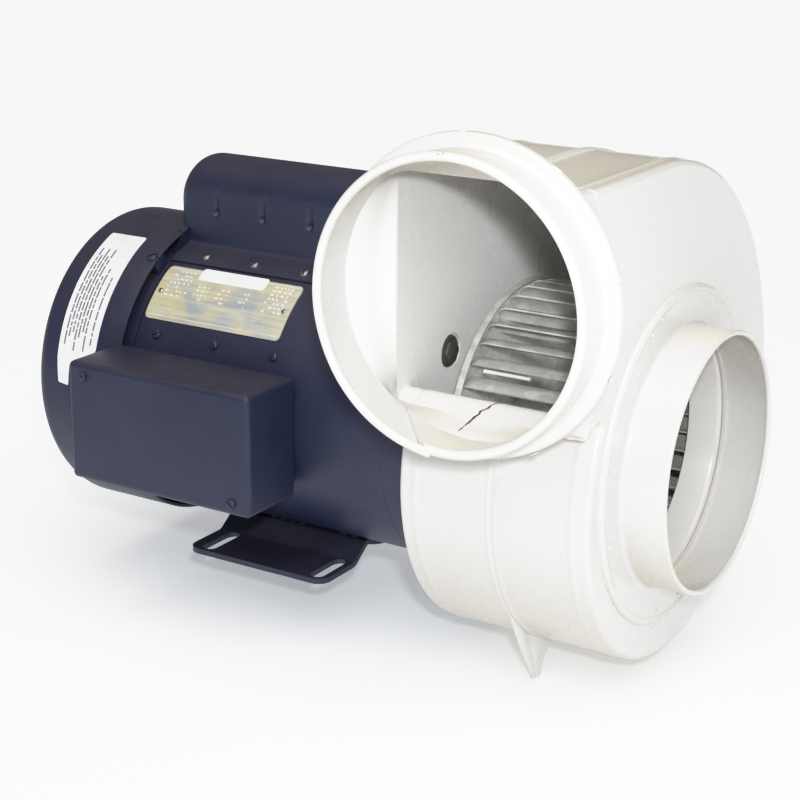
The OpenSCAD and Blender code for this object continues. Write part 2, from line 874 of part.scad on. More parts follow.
module impeller_blades() {
    y0 = wheel_y0 + plate_t;
    inner = [for (i = [0:blade_steps]) blade_at(i/blade_steps)];
    back = [for (i = [blade_steps:-1:0]) blade_at(i/blade_steps) + [0, blade_t]];
    color("silver") along_shaft(y0, wheel_y1 - 3 - y0)
        for (i = [0:blade_n - 1]) rotate(i*360/blade_n) polygon(concat(inner, back));
}

module impeller_end_ring() {
    color("silver") ring(wheel_y1 - 3, wheel_y1, wheel_r, eye_r + 1);
}

motor_shell();
drive_end_bell();
rear_end_bell();
fan_shroud();
shroud_screws();
motor_foot();
capacitor_cover();
capacitor_cover_screws();
capacitor_cradle();
start_capacitor();
run_capacitor();
nameplate();
nameplate_pins();
shroud_label();
terminal_box_frame();
terminal_box_cover();
terminal_box_screws();
box_rivets();
terminal_board();
lead_bushing();
stator_core();
stator_windings();
start_switch();
drive_bearing_outer();
drive_bearing_balls();
rear_bearing_outer();
rear_bearing_balls();
tie_bolts();
adapter_ring();
face_bolts();
housing_motor_half();
housing_inlet_half();
seam_band();
seam_lug();
outlet_transition();
outlet_ring();
outlet_collar();
inlet_flange();
inlet_collar();
inlet_cone();
shaft_seal();
motor_shaft();
rotor_core();
rotor_cage();
drive_bearing_inner();
rear_bearing_inner();
governor_plate();
governor_spool();
cooling_fan();
impeller_hub();
impeller_backplate();
impeller_blades();
impeller_end_ring();
impeller_set_screws();
shaft_key();
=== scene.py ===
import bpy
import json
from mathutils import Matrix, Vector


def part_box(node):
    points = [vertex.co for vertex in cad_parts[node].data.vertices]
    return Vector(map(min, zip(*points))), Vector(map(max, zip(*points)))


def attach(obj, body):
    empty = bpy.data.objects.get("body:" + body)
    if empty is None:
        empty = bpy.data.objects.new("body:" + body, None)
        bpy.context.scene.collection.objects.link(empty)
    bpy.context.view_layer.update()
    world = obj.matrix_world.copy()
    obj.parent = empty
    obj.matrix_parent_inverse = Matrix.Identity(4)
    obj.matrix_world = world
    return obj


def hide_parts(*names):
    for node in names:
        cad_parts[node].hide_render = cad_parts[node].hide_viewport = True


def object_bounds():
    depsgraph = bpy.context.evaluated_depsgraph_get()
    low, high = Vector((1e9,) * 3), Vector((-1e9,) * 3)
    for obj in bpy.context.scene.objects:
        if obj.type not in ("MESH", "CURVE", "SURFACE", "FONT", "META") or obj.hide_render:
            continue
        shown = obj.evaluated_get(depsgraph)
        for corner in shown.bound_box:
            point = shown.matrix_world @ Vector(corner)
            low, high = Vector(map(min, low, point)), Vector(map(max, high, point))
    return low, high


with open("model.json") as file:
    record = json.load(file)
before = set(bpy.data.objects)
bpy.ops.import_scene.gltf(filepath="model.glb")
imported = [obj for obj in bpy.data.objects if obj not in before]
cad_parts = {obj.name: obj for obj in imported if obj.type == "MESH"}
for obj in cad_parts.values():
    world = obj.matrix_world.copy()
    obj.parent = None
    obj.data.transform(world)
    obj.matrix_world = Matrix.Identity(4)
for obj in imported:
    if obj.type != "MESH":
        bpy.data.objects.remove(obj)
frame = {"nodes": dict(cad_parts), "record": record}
cad_box = [list(corner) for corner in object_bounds()]

import json
import math
import random

import bmesh
import bpy
from mathutils import Matrix, Vector, noise
from mathutils.geometry import delaunay_2d_cdt

# Lengths are in metres. +X is the way the air leaves, +Y runs along the shaft from motor to inlet,
# +Z is up, and the origin is on the underside of the foot.

MM = 0.001
TAU = 2 * math.pi


# ---------------------------------------------------------------- sizes from the frame

def low(node):
    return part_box(node)[0]


def high(node):
    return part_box(node)[1]


SHELL_R = (high("motor_shell").x - low("motor_shell").x) / 2
SHAFT_Z = (high("motor_shell").z + low("motor_shell").z) / 2
SHELL_Y = (low("motor_shell").y, high("motor_shell").y)
SHROUD_R = (high("fan_shroud").x - low("fan_shroud").x) / 2
SHROUD_Y = (low("fan_shroud").y, high("fan_shroud").y)

SHEET = 1.5 * MM
HOUSE_Y = (low("housing_motor_half").y, high("housing_inlet_half").y)
SEAM_Y = (HOUSE_Y[0] + HOUSE_Y[1]) / 2
MOUTH_X = high("housing_motor_half").x
ROOF_Z = high("housing_motor_half").z

# The scroll's three arcs: front, low back and high back. They meet smoothly.
ARC1_R = 105.0 * MM
ARC2_R = 124.9 * MM
ARC3_R = 150.1 * MM
ARC1_C = Vector((low("housing_motor_half").x + ARC2_R, low("housing_motor_half").z + ARC1_R))
ARC3_C = Vector((low("housing_motor_half").x + ARC3_R, ROOF_Z - ARC3_R))
ARC2_C = Vector((ARC1_C.x, ARC3_C.y))

# The throat's floor: its inner height at the mouth, and its rise towards the tongue
FLOOR_Z = SHAFT_Z + 39.5 * MM
FLOOR_SLOPE = 0.49
TONGUE_R = 4.5 * MM

OUTLET_C = Vector((0, SEAM_Y, (high("outlet_collar").z + low("outlet_collar").z) / 2))
OUTLET_R = (high("outlet_collar").z - low("outlet_collar").z) / 2
OUTLET_X = (low("outlet_ring").x, high("outlet_collar").x)
RING_R = (high("outlet_ring").z - low("outlet_ring").z) / 2
RING_W = high("outlet_ring").x - low("outlet_ring").x
INLET_R = (high("inlet_collar").z - low("inlet_collar").z) / 2
INLET_Y = (low("inlet_flange").y, high("inlet_collar").y)
FLANGE_R = (high("inlet_flange").z - low("inlet_flange").z) / 2
FLANGE_T = high("inlet_flange").y - low("inlet_flange").y

WHEEL_R = (high("impeller_backplate").z - low("impeller_backplate").z) / 2
WHEEL_Y = (low("impeller_backplate").y, high("impeller_end_ring").y)
BLADES = 40
EYE_R = 69 * MM
INLET_HOLE_R = 69 * MM
BOLT_CIRCLE_R = 74.6 * MM
CAP_FLANGE_R = SHELL_R + 1.2 * MM


# ---------------------------------------------------------------- node materials

class Shader:
    """A principled material with a few short ways to add procedural detail."""

    def __init__(self, name):
        self.material = bpy.data.materials.new(name)
        self.material.use_nodes = True
        self.tree = self.material.node_tree
        self.tree.nodes.clear()
        out = self.tree.nodes.new("ShaderNodeOutputMaterial")
        self.bsdf = self.tree.nodes.new("ShaderNodeBsdfPrincipled")
        self.link(self.bsdf.outputs[0], out.inputs[0])
        self.coords = self.tree.nodes.new("ShaderNodeTexCoord").outputs["Object"]

    def set(self, **values):
        for key, value in values.items():
            self.bsdf.inputs[key.replace("_", " ")].default_value = value

    def link(self, a, b):
        self.tree.links.new(a, b)

    def noise(self, scale, detail=4.0, rough=0.55, warp=0.0, coords=None):
        node = self.tree.nodes.new("ShaderNodeTexNoise")
        node.inputs["Scale"].default_value = scale
        node.inputs["Detail"].default_value = detail
        node.inputs["Roughness"].default_value = rough
        node.inputs["Distortion"].default_value = warp
        self.link(coords or self.coords, node.inputs["Vector"])
        return node.outputs["Fac"]

    def stretched(self, scale, detail, rough=0.6, warp=0.0):
        """Noise drawn out along the axes whose scale is small."""
        node = self.tree.nodes.new("ShaderNodeMapping")
        node.inputs["Scale"].default_value = scale
        self.link(self.coords, node.inputs["Vector"])
        return self.noise(1.0, detail, rough, warp, node.outputs[0])

    def cells(self, scale, output="Color"):
        node = self.tree.nodes.new("ShaderNodeTexVoronoi")
        node.inputs["Scale"].default_value = scale
        self.link(self.coords, node.inputs["Vector"])
        return node.outputs[output]

    def ramp(self, value, *stops):
        node = self.tree.nodes.new("ShaderNodeValToRGB")
        ramp = node.color_ramp
        while len(ramp.elements) < len(stops):
            ramp.elements.new(0.5)
        for element, (at, colour) in zip(ramp.elements, stops):
            element.position = at
            grey = isinstance(colour, (int, float))
            element.color = (colour, colour, colour, 1) if grey else (*colour, 1)
        self.link(value, node.inputs[0])
        return node.outputs[0]

    def mix(self, factor, a, b):
        node = self.tree.nodes.new("ShaderNodeMix")
        node.data_type = "RGBA"
        for socket, value in ((node.inputs[0], factor), (node.inputs[6], a), (node.inputs[7], b)):
            if isinstance(value, bpy.types.NodeSocket):
                self.link(value, socket)
            elif isinstance(value, (int, float)):
                socket.default_value = value
            else:
                socket.default_value = (*value, 1)
        return node.outputs[2]

    def times(self, a, b):
        node = self.tree.nodes.new("ShaderNodeMath")
        node.operation = "MULTIPLY"
        for socket, value in zip(node.inputs, (a, b)):
            if isinstance(value, bpy.types.NodeSocket):
                self.link(value, socket)
            else:
                socket.default_value = value
        return node.outputs[0]

    def facing_up(self):
        geometry = self.tree.nodes.new("ShaderNodeNewGeometry")
        split = self.tree.nodes.new("ShaderNodeSeparateXYZ")
        self.link(geometry.outputs["Normal"], split.inputs[0])
        return split.outputs["Z"]

    def crevices(self, distance):
        node = self.tree.nodes.new("ShaderNodeAmbientOcclusion")
        node.samples = 6
        node.inputs["Distance"].default_value = distance
        return node.outputs["AO"]

    def bump(self, *layers):
        """Stacks (height, strength, distance) layers into the normal."""
        previous = None
        for height, strength, distance in layers:
            node = self.tree.nodes.new("ShaderNodeBump")
            node.inputs["Strength"].default_value = strength
            node.inputs["Distance"].default_value = distance
            self.link(height, node.inputs["Height"])
            if previous:
                self.link(previous, node.inputs["Normal"])
            previous = node.outputs[0]
        self.link(previous, self.bsdf.inputs["Normal"])

    def colour(self, socket):
        self.link(socket, self.bsdf.inputs["Base Color"])

    def roughness(self, socket):
        self.link(socket, self.bsdf.inputs["Roughness"])


def motor_paint():
    """Dark navy satin enamel with a fine peel, faint blotches, dust on what faces up and painted shade in
    its creases.
    """
    s = Shader("motor_paint")
    s.set(Metallic=0.0, IOR=1.45)
    tone = s.ramp(s.noise(14, 5), (0.3, (0.0092, 0.0130, 0.039)), (0.7, (0.0126, 0.0170, 0.047)))
    blotch = s.ramp(s.noise(55, 6, 0.65), (0.42, (0, 0, 0)), (0.75, (1, 1, 1)))
    tone = s.mix(s.times(blotch, 0.10), tone, (0.030, 0.034, 0.060))
    up = s.ramp(s.facing_up(), (0.25, 0.0), (0.95, 1.0))
    dust = s.times(up, s.ramp(s.noise(38, 7, 0.7), (0.3, 0.35), (0.7, 0.8)))
    tone = s.mix(s.times(dust, 0.42), tone, (0.082, 0.064, 0.064))
    # Painted shade: the enamel turns near black where ambient occlusion finds other surfaces close by, in
    # creases and corners.
    painted_crevice_shade = s.ramp(s.crevices(0.004), (0.2, 0.7), (0.7, 0.0))
    s.colour(s.mix(painted_crevice_shade, tone, (0.006, 0.006, 0.012)))
    s.roughness(s.ramp(s.noise(30, 5), (0.3, 0.40), (0.75, 0.56)))
    s.bump((s.noise(900, 2), 0.10, 0.0004), (s.noise(70, 3), 0.08, 0.001))
    return s.material


def housing_paint():
    """Thick glossy off-white enamel: faint runs and orange peel, with painted warm shade where surfaces
    meet, painted tan shade on what faces down and painted warm light on what faces up.
    """
    s = Shader("housing_paint")
    s.set(Metallic=0.0, IOR=1.5, Coat_Weight=0.35, Coat_Roughness=0.08)
    tone = s.ramp(s.noise(70, 3, 0.5), (0.3, (0.704, 0.698, 0.689)), (0.7, (0.709, 0.703, 0.694)))
    # Painted shade: a warm tan where ambient occlusion finds other surfaces close by, where surfaces meet.
    painted_crevice_shade = s.ramp(s.crevices(0.004), (0.2, 0.8), (0.6, 0.0))
    tone = s.mix(painted_crevice_shade, tone, (0.42, 0.38, 0.29))
    # Painted shade: faces that look down are tinted a darker tan.
    under = s.ramp(s.times(s.facing_up(), -1.0), (0.15, 0.0), (1.0, 1.0))
    tone = s.mix(s.times(under, 0.95), tone, (0.44, 0.385, 0.29))
    # Painted light: faces that look up take a warm tint, as under a warm light from above.
    up = s.ramp(s.facing_up(), (0.93, 0.0), (0.995, 1.0))
    tone = s.mix(s.times(up, 0.75), tone, (0.76, 0.715, 0.60))
    specks = s.ramp(s.noise(420, 3, 0.5), (0.76, 0.0), (0.79, 0.4))
    s.colour(s.mix(specks, tone, (0.50, 0.47, 0.40)))
    s.roughness(s.ramp(s.noise(60, 3, 0.5), (0.3, 0.26), (0.75, 0.30)))
    runs = s.stretched((22, 22, 8), 2, 0.4)
    s.bump((s.noise(430, 2), 0.07, 0.0004), (runs, 0.07, 0.0022))
    return s.material


def galvanised():
    """Zinc-coated sheet with spangle, drawn streaks and dull oxide."""
    s = Shader("galvanised")
    s.set(Metallic=0.15)
    spangle = s.ramp(s.cells(170), (0.2, (0.42, 0.43, 0.41)), (0.8, (0.58, 0.59, 0.57)))
    streak = s.stretched((260, 12, 260), 4)
    tone = s.mix(s.ramp(streak, (0.35, 0.0), (0.7, 0.45)), spangle, (0.30, 0.305, 0.26))
    oxide = s.ramp(s.noise(45, 6, 0.7), (0.5, 0.0), (0.72, 0.8))
    s.colour(s.mix(oxide, tone, (0.34, 0.34, 0.31)))
    s.roughness(s.ramp(s.noise(90, 4), (0.3, 0.26), (0.7, 0.48)))
    s.bump((streak, 0.12, 0.0005), (s.cells(170, output="Distance"), 0.06, 0.0004))
    return s.material


def metal(name, dark, light, rough, streaks, grain=300):
    """Bare or plated metal with turning or drawing marks along the scaled axes."""
    s = Shader(name)
    s.set(Metallic=1.0)
    marks = s.stretched(streaks, 4)
    dull = s.ramp(s.noise(grain, 5), (0.35, 0.0), (0.7, 1.0))
    s.colour(s.mix(dull, s.ramp(marks, (0.3, dark), (0.7, light)), dark))
    s.roughness(s.ramp(marks, (0.3, rough * 0.8), (0.7, rough * 1.25)))
    s.bump((marks, 0.15, 0.0003), (s.noise(grain, 3), 0.08, 0.0003))
    return s.material


def moulded(name, dark, light, rough):
    """Moulded plastic, board or rubber with a fine grain and mottled dirt."""
    s = Shader(name)
    s.set(Metallic=0.0, IOR=1.46)
    s.colour(s.ramp(s.noise(40, 6, 0.65), (0.3, dark), (0.7, light)))
    s.roughness(s.ramp(s.noise(60, 4), (0.3, rough * 0.85), (0.7, rough * 1.15)))
    s.bump((s.noise(700, 3), 0.2, 0.0003), (s.noise(60, 3), 0.1, 0.0008))
    return s.material


def nameplate_foil():
    """Etched plate, tarnished from gold to blue-grey, brushed along its length."""
    s = Shader("nameplate_foil")
    s.set(Metallic=0.15)
    brushed = s.stretched((500, 24, 500), 3)
    clouds = s.noise(34, 4, 0.55, 0.6)
    tone = s.ramp(clouds, (0.36, (0.27, 0.35, 0.45)), (0.48, (0.42, 0.42, 0.37)),
                  (0.62, (0.55, 0.50, 0.31)))
    tone = s.mix(s.ramp(brushed, (0.4, 0.0), (0.7, 0.5)), tone, (0.70, 0.69, 0.60))
    s.colour(s.mix(s.ramp(s.noise(160, 5, 0.7), (0.55, 0.0), (0.75, 0.4)), tone, (0.40, 0.37, 0.28)))
    s.roughness(s.ramp(brushed, (0.3, 0.28), (0.7, 0.45)))
    s.bump((brushed, 0.2, 0.0003))
    return s.material


def label_paper():
    """Coated white paper, cool in tone and scuffed."""
    s = Shader("label_paper")
    s.set(Metallic=0.0)
    tone = s.ramp(s.noise(70, 5), (0.3, (0.78, 0.79, 0.83)), (0.7, (0.86, 0.87, 0.90)))
    scuffs = s.ramp(s.stretched((90, 300, 90), 5, 0.6, 0.4), (0.62, 0.0), (0.72, 0.5))
    s.colour(s.mix(scuffs, tone, (0.62, 0.61, 0.63)))
    s.roughness(s.ramp(s.noise(120, 4), (0.3, 0.42), (0.7, 0.62)))
    s.bump((s.noise(1500, 2), 0.08, 0.0002), (s.noise(45, 3), 0.12, 0.0012))
    return s.material


MATERIALS = {
    "motor_paint": motor_paint(),
    "housing_paint": housing_paint(),
    "galvanised": galvanised(),
    "fastener": metal("fastener", (0.20, 0.20, 0.21), (0.34, 0.34, 0.36), 0.42, (900, 900, 900)),
    "bright_steel": metal("bright_steel", (0.42, 0.42, 0.43), (0.66, 0.66, 0.67), 0.24, (40, 1600, 40)),
    "core_steel": metal("core_steel", (0.16, 0.16, 0.17), (0.30, 0.30, 0.32), 0.5, (60, 2500, 60)),
    "cast_aluminium": metal("cast_aluminium", (0.42, 0.42, 0.43), (0.62, 0.62, 0.63), 0.5,
                            (500, 500, 500), grain=900),
    "copper": metal("copper", (0.42, 0.16, 0.07), (0.70, 0.33, 0.17), 0.35, (900, 60, 900)),
    "nameplate_foil": nameplate_foil(),
    "label_paper": label_paper(),
    "black_plastic": moulded("black_plastic", (0.012, 0.012, 0.013), (0.028, 0.028, 0.030), 0.5),
    "switch_board": moulded("switch_board", (0.16, 0.07, 0.03), (0.28, 0.14, 0.07), 0.6),
    "black_rubber": moulded("black_rubber", (0.010, 0.010, 0.010), (0.030, 0.029, 0.028), 0.75),
}
# Colours of details that belong to a slot but differ from its material
RULED_INK = moulded("ruled_ink", (0.12, 0.12, 0.14), (0.22, 0.22, 0.25), 0.6)
RULED_PLATE = moulded("ruled_plate", (0.62, 0.62, 0.58), (0.80, 0.80, 0.76), 0.5)
ZINC_HEAD = moulded("zinc_head", (0.022, 0.020, 0.018), (0.085, 0.080, 0.075), 0.45)
BRIGHT_CLIP = moulded("bright_clip", (0.50, 0.51, 0.51), (0.66, 0.67, 0.67), 0.35)
# Dark brown for chips in the enamel, also used as painted shade in the seam's open gap.
CHIP_AND_GAP_SHADE = moulded("chip_and_gap_shade", (0.035, 0.028, 0.022), (0.09, 0.07, 0.05), 0.8)

# ---------------------------------------------------------------- mesh helpers

def lerp(a, b, t):
    return a + (b - a) * t


def arc(centre, radius, start, end, steps):
    """Points of an arc, both ends included, angles in degrees."""
    angles = [math.radians(lerp(start, end, i / steps)) for i in range(steps + 1)]
    return [Vector((centre[0] + radius * math.cos(a), centre[1] + radius * math.sin(a))) for a in angles]


def rounded(points, radius, steps=3):
    """A closed outline with every corner rounded. radius is one number, or one for each corner."""
    result = []
    count = len(points)
    radii = radius if isinstance(radius, (list, tuple)) else [radius] * count
    for i, r in enumerate(radii):
        before, here, after = (Vector(points[(i + k) % count]) for k in (-1, 0, 1))
        a, b = (before - here).normalized(), (after - here).normalized()
        if r <= 0 or abs(a.dot(b)) > 0.999:
            result.append(here)
            continue
        half = math.acos(max(-1, min(1, a.dot(b)))) / 2
        reach = min(r / math.tan(half), 0.49 * (before - here).length, 0.49 * (after - here).length)
        start, end = here + a * reach, here + b * reach
        for k in range(steps + 1):
            t = k / steps
            result.append(start * (1 - t) ** 2 + here * 2 * t * (1 - t) + end * t ** 2)
    return result


def about_shaft(radius, degrees, y):
    """A point at an angle above +X about the shaft."""
    a = math.radians(degrees)
    return Vector((radius * math.cos(a), y, SHAFT_Z + radius * math.sin(a)))


def about_outlet(radius, degrees, x):
    """A point about the outlet collar's axis, at an angle above +Y."""
    a = math.radians(degrees)
    return Vector((x, OUTLET_C.y + radius * math.cos(a), OUTLET_C.z + radius * math.sin(a)))


def outlet_way(degrees):
    """The direction at an angle above +Y, across the outlet's axis."""
    return about_outlet(1, degrees, 0) - Vector((0, OUTLET_C.y, OUTLET_C.z))


def make(name, verts, faces):
    """A mesh object in the scene, from points and faces."""
    mesh = bpy.data.meshes.new(name)
    mesh.from_pydata([tuple(v) for v in verts], [], faces)
    obj = bpy.data.objects.new(name, mesh)
    bpy.context.scene.collection.objects.link(obj)
    return obj


def grid_faces(rows, columns, wrap_rows=False, wrap_columns=False):
    """Quads between neighbouring points laid out row by row."""
    faces = []
    for i in range(rows if wrap_rows else rows - 1):
        for j in range(columns if wrap_columns else columns - 1):
            i2, j2 = (i + 1) % rows, (j + 1) % columns
            faces.append((i * columns + j, i2 * columns + j, i2 * columns + j2, i * columns + j2))
    return faces


def tube_faces(rows, size):
    """Faces of a closed section of size points carried along rows, with both ends capped."""
    last = (rows - 1) * size
    faces = grid_faces(rows, size, wrap_columns=True)
    return faces + [tuple(range(size)), tuple(reversed(range(last, last + size)))]


def lathe(name, profile, steps=160):
    """Turns a closed profile of (radius, y) once round the shaft."""
    verts = [about_shaft(r, 360 * i / steps, y) for i in range(steps) for r, y in profile]
    return make(name, verts, grid_faces(steps, len(profile), True, True))


def solid(obj, thickness, offset=-1.0):
    """Gives a sheet its thickness: behind its faces, or on both sides with offset 0."""
    modifier = obj.modifiers.new("thickness", "SOLIDIFY")
    modifier.thickness = thickness
    modifier.offset = offset
    modifier.use_even_offset = True
    return obj


def bevel(obj, width, segments, angle):
    """Rounds every edge sharper than an angle in degrees."""
    modifier = obj.modifiers.new("rounding", "BEVEL")
    modifier.width = width
    modifier.segments = segments
    modifier.limit_method = "ANGLE"
    modifier.angle_limit = math.radians(angle)
    return obj


def cut(obj, cutter):
    """Takes the cutter out of obj and removes it."""
    modifier = obj.modifiers.new("cut", "BOOLEAN")
    modifier.operation = "DIFFERENCE"
    modifier.solver = "EXACT"
    modifier.object = cutter
    apply_modifiers(obj)
    bpy.data.objects.remove(cutter)


def apply_modifiers(obj):
    """Turns what an object's modifiers give into its own mesh."""
    graph = bpy.context.evaluated_depsgraph_get()
    obj.data = bpy.data.meshes.new_from_object(obj.evaluated_get(graph))
    obj.modifiers.clear()


def cylinder(name, radius, y0, y1, x=0.0, z=0.0, steps=192):
    """A bar or a cutter along Y, its centre measured from the shaft."""
    ring = [(radius * math.cos(TAU * i / steps), radius * math.sin(TAU * i / steps)) for i in range(steps)]
    verts = [Vector((x + across, y, SHAFT_Z + z + up)) for y in (y0, y1) for across, up in ring]
    faces = [(i, (i + 1) % steps, steps + (i + 1) % steps, steps + i) for i in range(steps)]
    faces += [tuple(reversed(range(steps))), tuple(range(steps, 2 * steps))]
    return make(name, verts, faces)


def join(name, objects):
    """One object out of several."""
    result = bmesh.new()
    for obj in objects:
        if obj.modifiers:
            apply_modifiers(obj)
        obj.data.transform(obj.matrix_world)
        result.from_mesh(obj.data)
        bpy.data.objects.remove(obj)
    mesh = bpy.data.meshes.new(name)
    result.to_mesh(mesh)
    result.free()
    obj = bpy.data.objects.new(name, mesh)
    bpy.context.scene.collection.objects.link(obj)
    return obj


def clean(obj, merge, dissolve):
    """Merges points closer than merge, drops slivers and turns the faces outwards."""
    mesh = bmesh.new()
    mesh.from_mesh(obj.data)
    bmesh.ops.remove_doubles(mesh, verts=mesh.verts, dist=merge)
    bmesh.ops.dissolve_degenerate(mesh, edges=mesh.edges, dist=dissolve)
    bmesh.ops.recalc_face_normals(mesh, faces=mesh.faces)
    mesh.to_mesh(obj.data)
    mesh.free()


def finish_piece(obj, slot, body="frame", replaces=(), material=None, sharp=32):
    """Closes off a piece: modifiers, normals, shading, material and what it rides on."""
    if obj.modifiers:
        apply_modifiers(obj)
    clean(obj, 1e-6, 1e-7)
    obj.data.polygons.foreach_set("use_smooth", [True] * len(obj.data.polygons))
    obj.data.set_sharp_from_angle(angle=math.radians(sharp))
    obj.data.materials.clear()
    obj.data.materials.append(material or MATERIALS[slot])
    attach(obj, body)
    if replaces:
        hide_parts(*replaces)
    return obj


def flat_sheet(outline, holes, grid_lines=()):
    """Triangles of a flat outline with holes. Returns 2D points and faces."""
    points, edges = [], []
    for loop in [outline, *holes]:
        first = len(points)
        points += [Vector(p) for p in loop]
        edges += [(first + i, first + (i + 1) % len(loop)) for i in range(len(loop))]
    for a, b in grid_lines:
        points += [Vector(a), Vector(b)]
        edges.append((len(points) - 2, len(points) - 1))
    verts, _, faces, _, _, _ = delaunay_2d_cdt(points, edges, [], 0, 1e-7)

    def inside(p, loop):
        hit = False
        for i in range(len(loop)):
            a, b = loop[i - 1], loop[i]
            if (a[1] > p[1]) != (b[1] > p[1]):
                crossing = (b[0] - a[0]) * (p[1] - a[1]) / (b[1] - a[1]) + a[0]
                hit ^= p[0] < crossing
        return hit

    kept = []
    for face in faces:
        middle = sum((verts[i] for i in face), Vector((0, 0))) / len(face)
        if inside(middle, outline) and not any(inside(middle, hole) for hole in holes):
            kept.append(tuple(face))
    used = sorted({i for face in kept for i in face})
    order = {old: new for new, old in enumerate(used)}
    return [verts[i] for i in used], [tuple(order[i] for i in face) for face in kept]


def circle_points(centre, radius, steps=48):
    """Points of a full circle, without the first one again at the end."""
    return arc(centre, radius, 0, 360 * (steps - 1) / steps, steps - 1)


# ---------------------------------------------------------------- the scroll's outline

FLOOR_BACK = Vector((-1, FLOOR_SLOPE)).normalized()
FLOOR_OUT = Vector((-FLOOR_SLOPE, -1)).normalized()
FLOOR_FOOT = Vector((MOUTH_X, FLOOR_Z - SHEET / math.cos(math.atan(FLOOR_SLOPE))))


def tongue_centre():
    """The centre of the tongue's rounding: outside the front arc and under the floor."""
    start = FLOOR_FOOT + FLOOR_OUT * TONGUE_R - ARC1_C
    b = start.dot(FLOOR_BACK)
    c = start.length_squared - (ARC1_R + TONGUE_R) ** 2
    return ARC1_C + start + FLOOR_BACK * (-b - math.sqrt(b * b - c))


TONGUE_C = tongue_centre()
TONGUE_FRONT = math.degrees(math.atan2(TONGUE_C.y - ARC1_C.y, TONGUE_C.x - ARC1_C.x))
TONGUE_TOP = math.degrees(math.atan2(1, FLOOR_SLOPE))
OUTLINE_STEPS = {"roof": 10, "arc3": 30, "arc2": 30, "arc1": 46, "tongue": 10, "floor": 8}


def scroll_outline(inset, front=None):
    """The scroll's side outline in X and Z, from the mouth's top right round to the mouth's floor."""
    front = MOUTH_X if front is None else front
    steps = OUTLINE_STEPS
    roof_end = Vector((ARC3_C.x, ROOF_Z - inset))
    roof_start = Vector((front, ROOF_Z - inset))
    points = [roof_start.lerp(roof_end, i / steps["roof"]) for i in range(steps["roof"])]
    points += arc(ARC3_C, ARC3_R - inset, 90, 180, steps["arc3"])[:-1]
    points += arc(ARC2_C, ARC2_R - inset, 180, 270, steps["arc2"])[:-1]
    points += arc(ARC1_C, ARC1_R - inset, 270, 360 + TONGUE_FRONT, steps["arc1"])[:-1]
    points += arc(TONGUE_C, TONGUE_R + inset, 180 + TONGUE_FRONT, TONGUE_TOP, steps["tongue"])
    last = points[-1]
    along = (front - last.x) / -FLOOR_BACK.x
    points += [last - FLOOR_BACK * along * (i + 1) / steps["floor"] for i in range(steps["floor"])]
    return points


def outline_lengths(points):
    """How far along its path each point lies."""
    total = [0.0]
    for a, b in zip(points, points[1:]):
        total.append(total[-1] + (b - a).length)
    return total


def along_path(path, lengths, s):
    """The point at a distance s along a path, and the way the path heads there."""
    j = min(max(i for i, total in enumerate(lengths) if total <= s), len(path) - 2)
    t = (s - lengths[j]) / (lengths[j + 1] - lengths[j])
    return path[j].lerp(path[j + 1], t), (path[j + 1] - path[j]).normalized()


def scroll_shell(name, section, holes, y_plate):
    """A pressed housing half: the outline swept through (inset, y) steps, closed by a plate with holes."""
    rows = [scroll_outline(inset) for inset, _ in section]
    columns = len(rows[0])
    verts = [Vector((p.x, y, p.y)) for row, (_, y) in zip(rows, section) for p in row]
    faces = grid_faces(len(rows), columns)
    flat, plate = flat_sheet(rows[-1], holes)
    first = len(verts)
    verts += [Vector((p.x, y_plate, p.y)) for p in flat]
    faces += [tuple(first + i for i in face) for face in plate]
    return make(name, verts, faces)


def face_out(obj, point, merge=1e-6):
    """Turns a sheet's faces so that the one furthest along point looks that way."""
    mesh = bmesh.new()
    mesh.from_mesh(obj.data)
    bmesh.ops.remove_doubles(mesh, verts=mesh.verts, dist=merge)
    bmesh.ops.recalc_face_normals(mesh, faces=mesh.faces)
    mesh.faces.ensure_lookup_table()
    target = Vector(point)
    best = max(mesh.faces, key=lambda f: f.calc_center_median().dot(target))
    if best.normal.dot(target) < 0:
        bmesh.ops.reverse_faces(mesh, faces=mesh.faces)
    mesh.to_mesh(obj.data)
    mesh.free()
    return obj


# The halves' rounded edge, and the shallow bead pressed beside it, between two distances from the plate
FOLD_R = 3.2 * MM
BEAD_H = 0.55 * MM
BEAD_FROM, BEAD_TO = 13 * MM, 7 * MM


def half_section(y_plate, y_seam):
    """Insets and stations from the seam over the bead to the plate's rounded edge."""
    way = 1 if y_plate > y_seam else -1
    steps = [(0.0, lerp(y_seam, y_plate - way * BEAD_FROM, i / 4)) for i in range(5)]
    for i in range(1, 8):
        lift = math.sin(math.pi * i / 8) ** 2 * BEAD_H
        steps.append((-lift, y_plate - way * lerp(BEAD_FROM, BEAD_TO, i / 8)))
    steps.append((0.0, y_plate - way * BEAD_TO))
    steps.append((0.0, y_plate - way * (FOLD_R + 0.6 * MM)))
    for i in range(7):
        a = math.radians(90 * i / 6)
        steps.append((FOLD_R * (1 - math.cos(a)), y_plate - way * FOLD_R * (1 - math.sin(a))))
    return steps


def housing_halves():
    """The scroll's two pressed halves, with the shaft's hole, four access holes and the inlet."""
    access_r = 10 * MM
    shaft_hole_r = 22 * MM
    centre = Vector((0, SHAFT_Z))
    motor_holes = [circle_points(centre, shaft_hole_r)]
    for k in range(4):
        a = math.radians(45 + 90 * k)
        spot = centre + Vector((math.cos(a), math.sin(a))) * BOLT_CIRCLE_R
        motor_holes.append(circle_points(spot, access_r, 32))
    inlet_holes = [circle_points(centre, INLET_HOLE_R, 96)]
    halves = (("scroll_motor_side", HOUSE_Y[0], motor_holes, -1, "housing_motor_half"),
              ("scroll_inlet_side", HOUSE_Y[1], inlet_holes, 1, "housing_inlet_half"))
    for name, y, holes, way, node in halves:
        obj = scroll_shell(name, half_section(y, SEAM_Y), holes, y)
        face_out(obj, (0, way, 0))
        solid(obj, SHEET)
        finish_piece(obj, "housing_paint", replaces=[node], sharp=50)


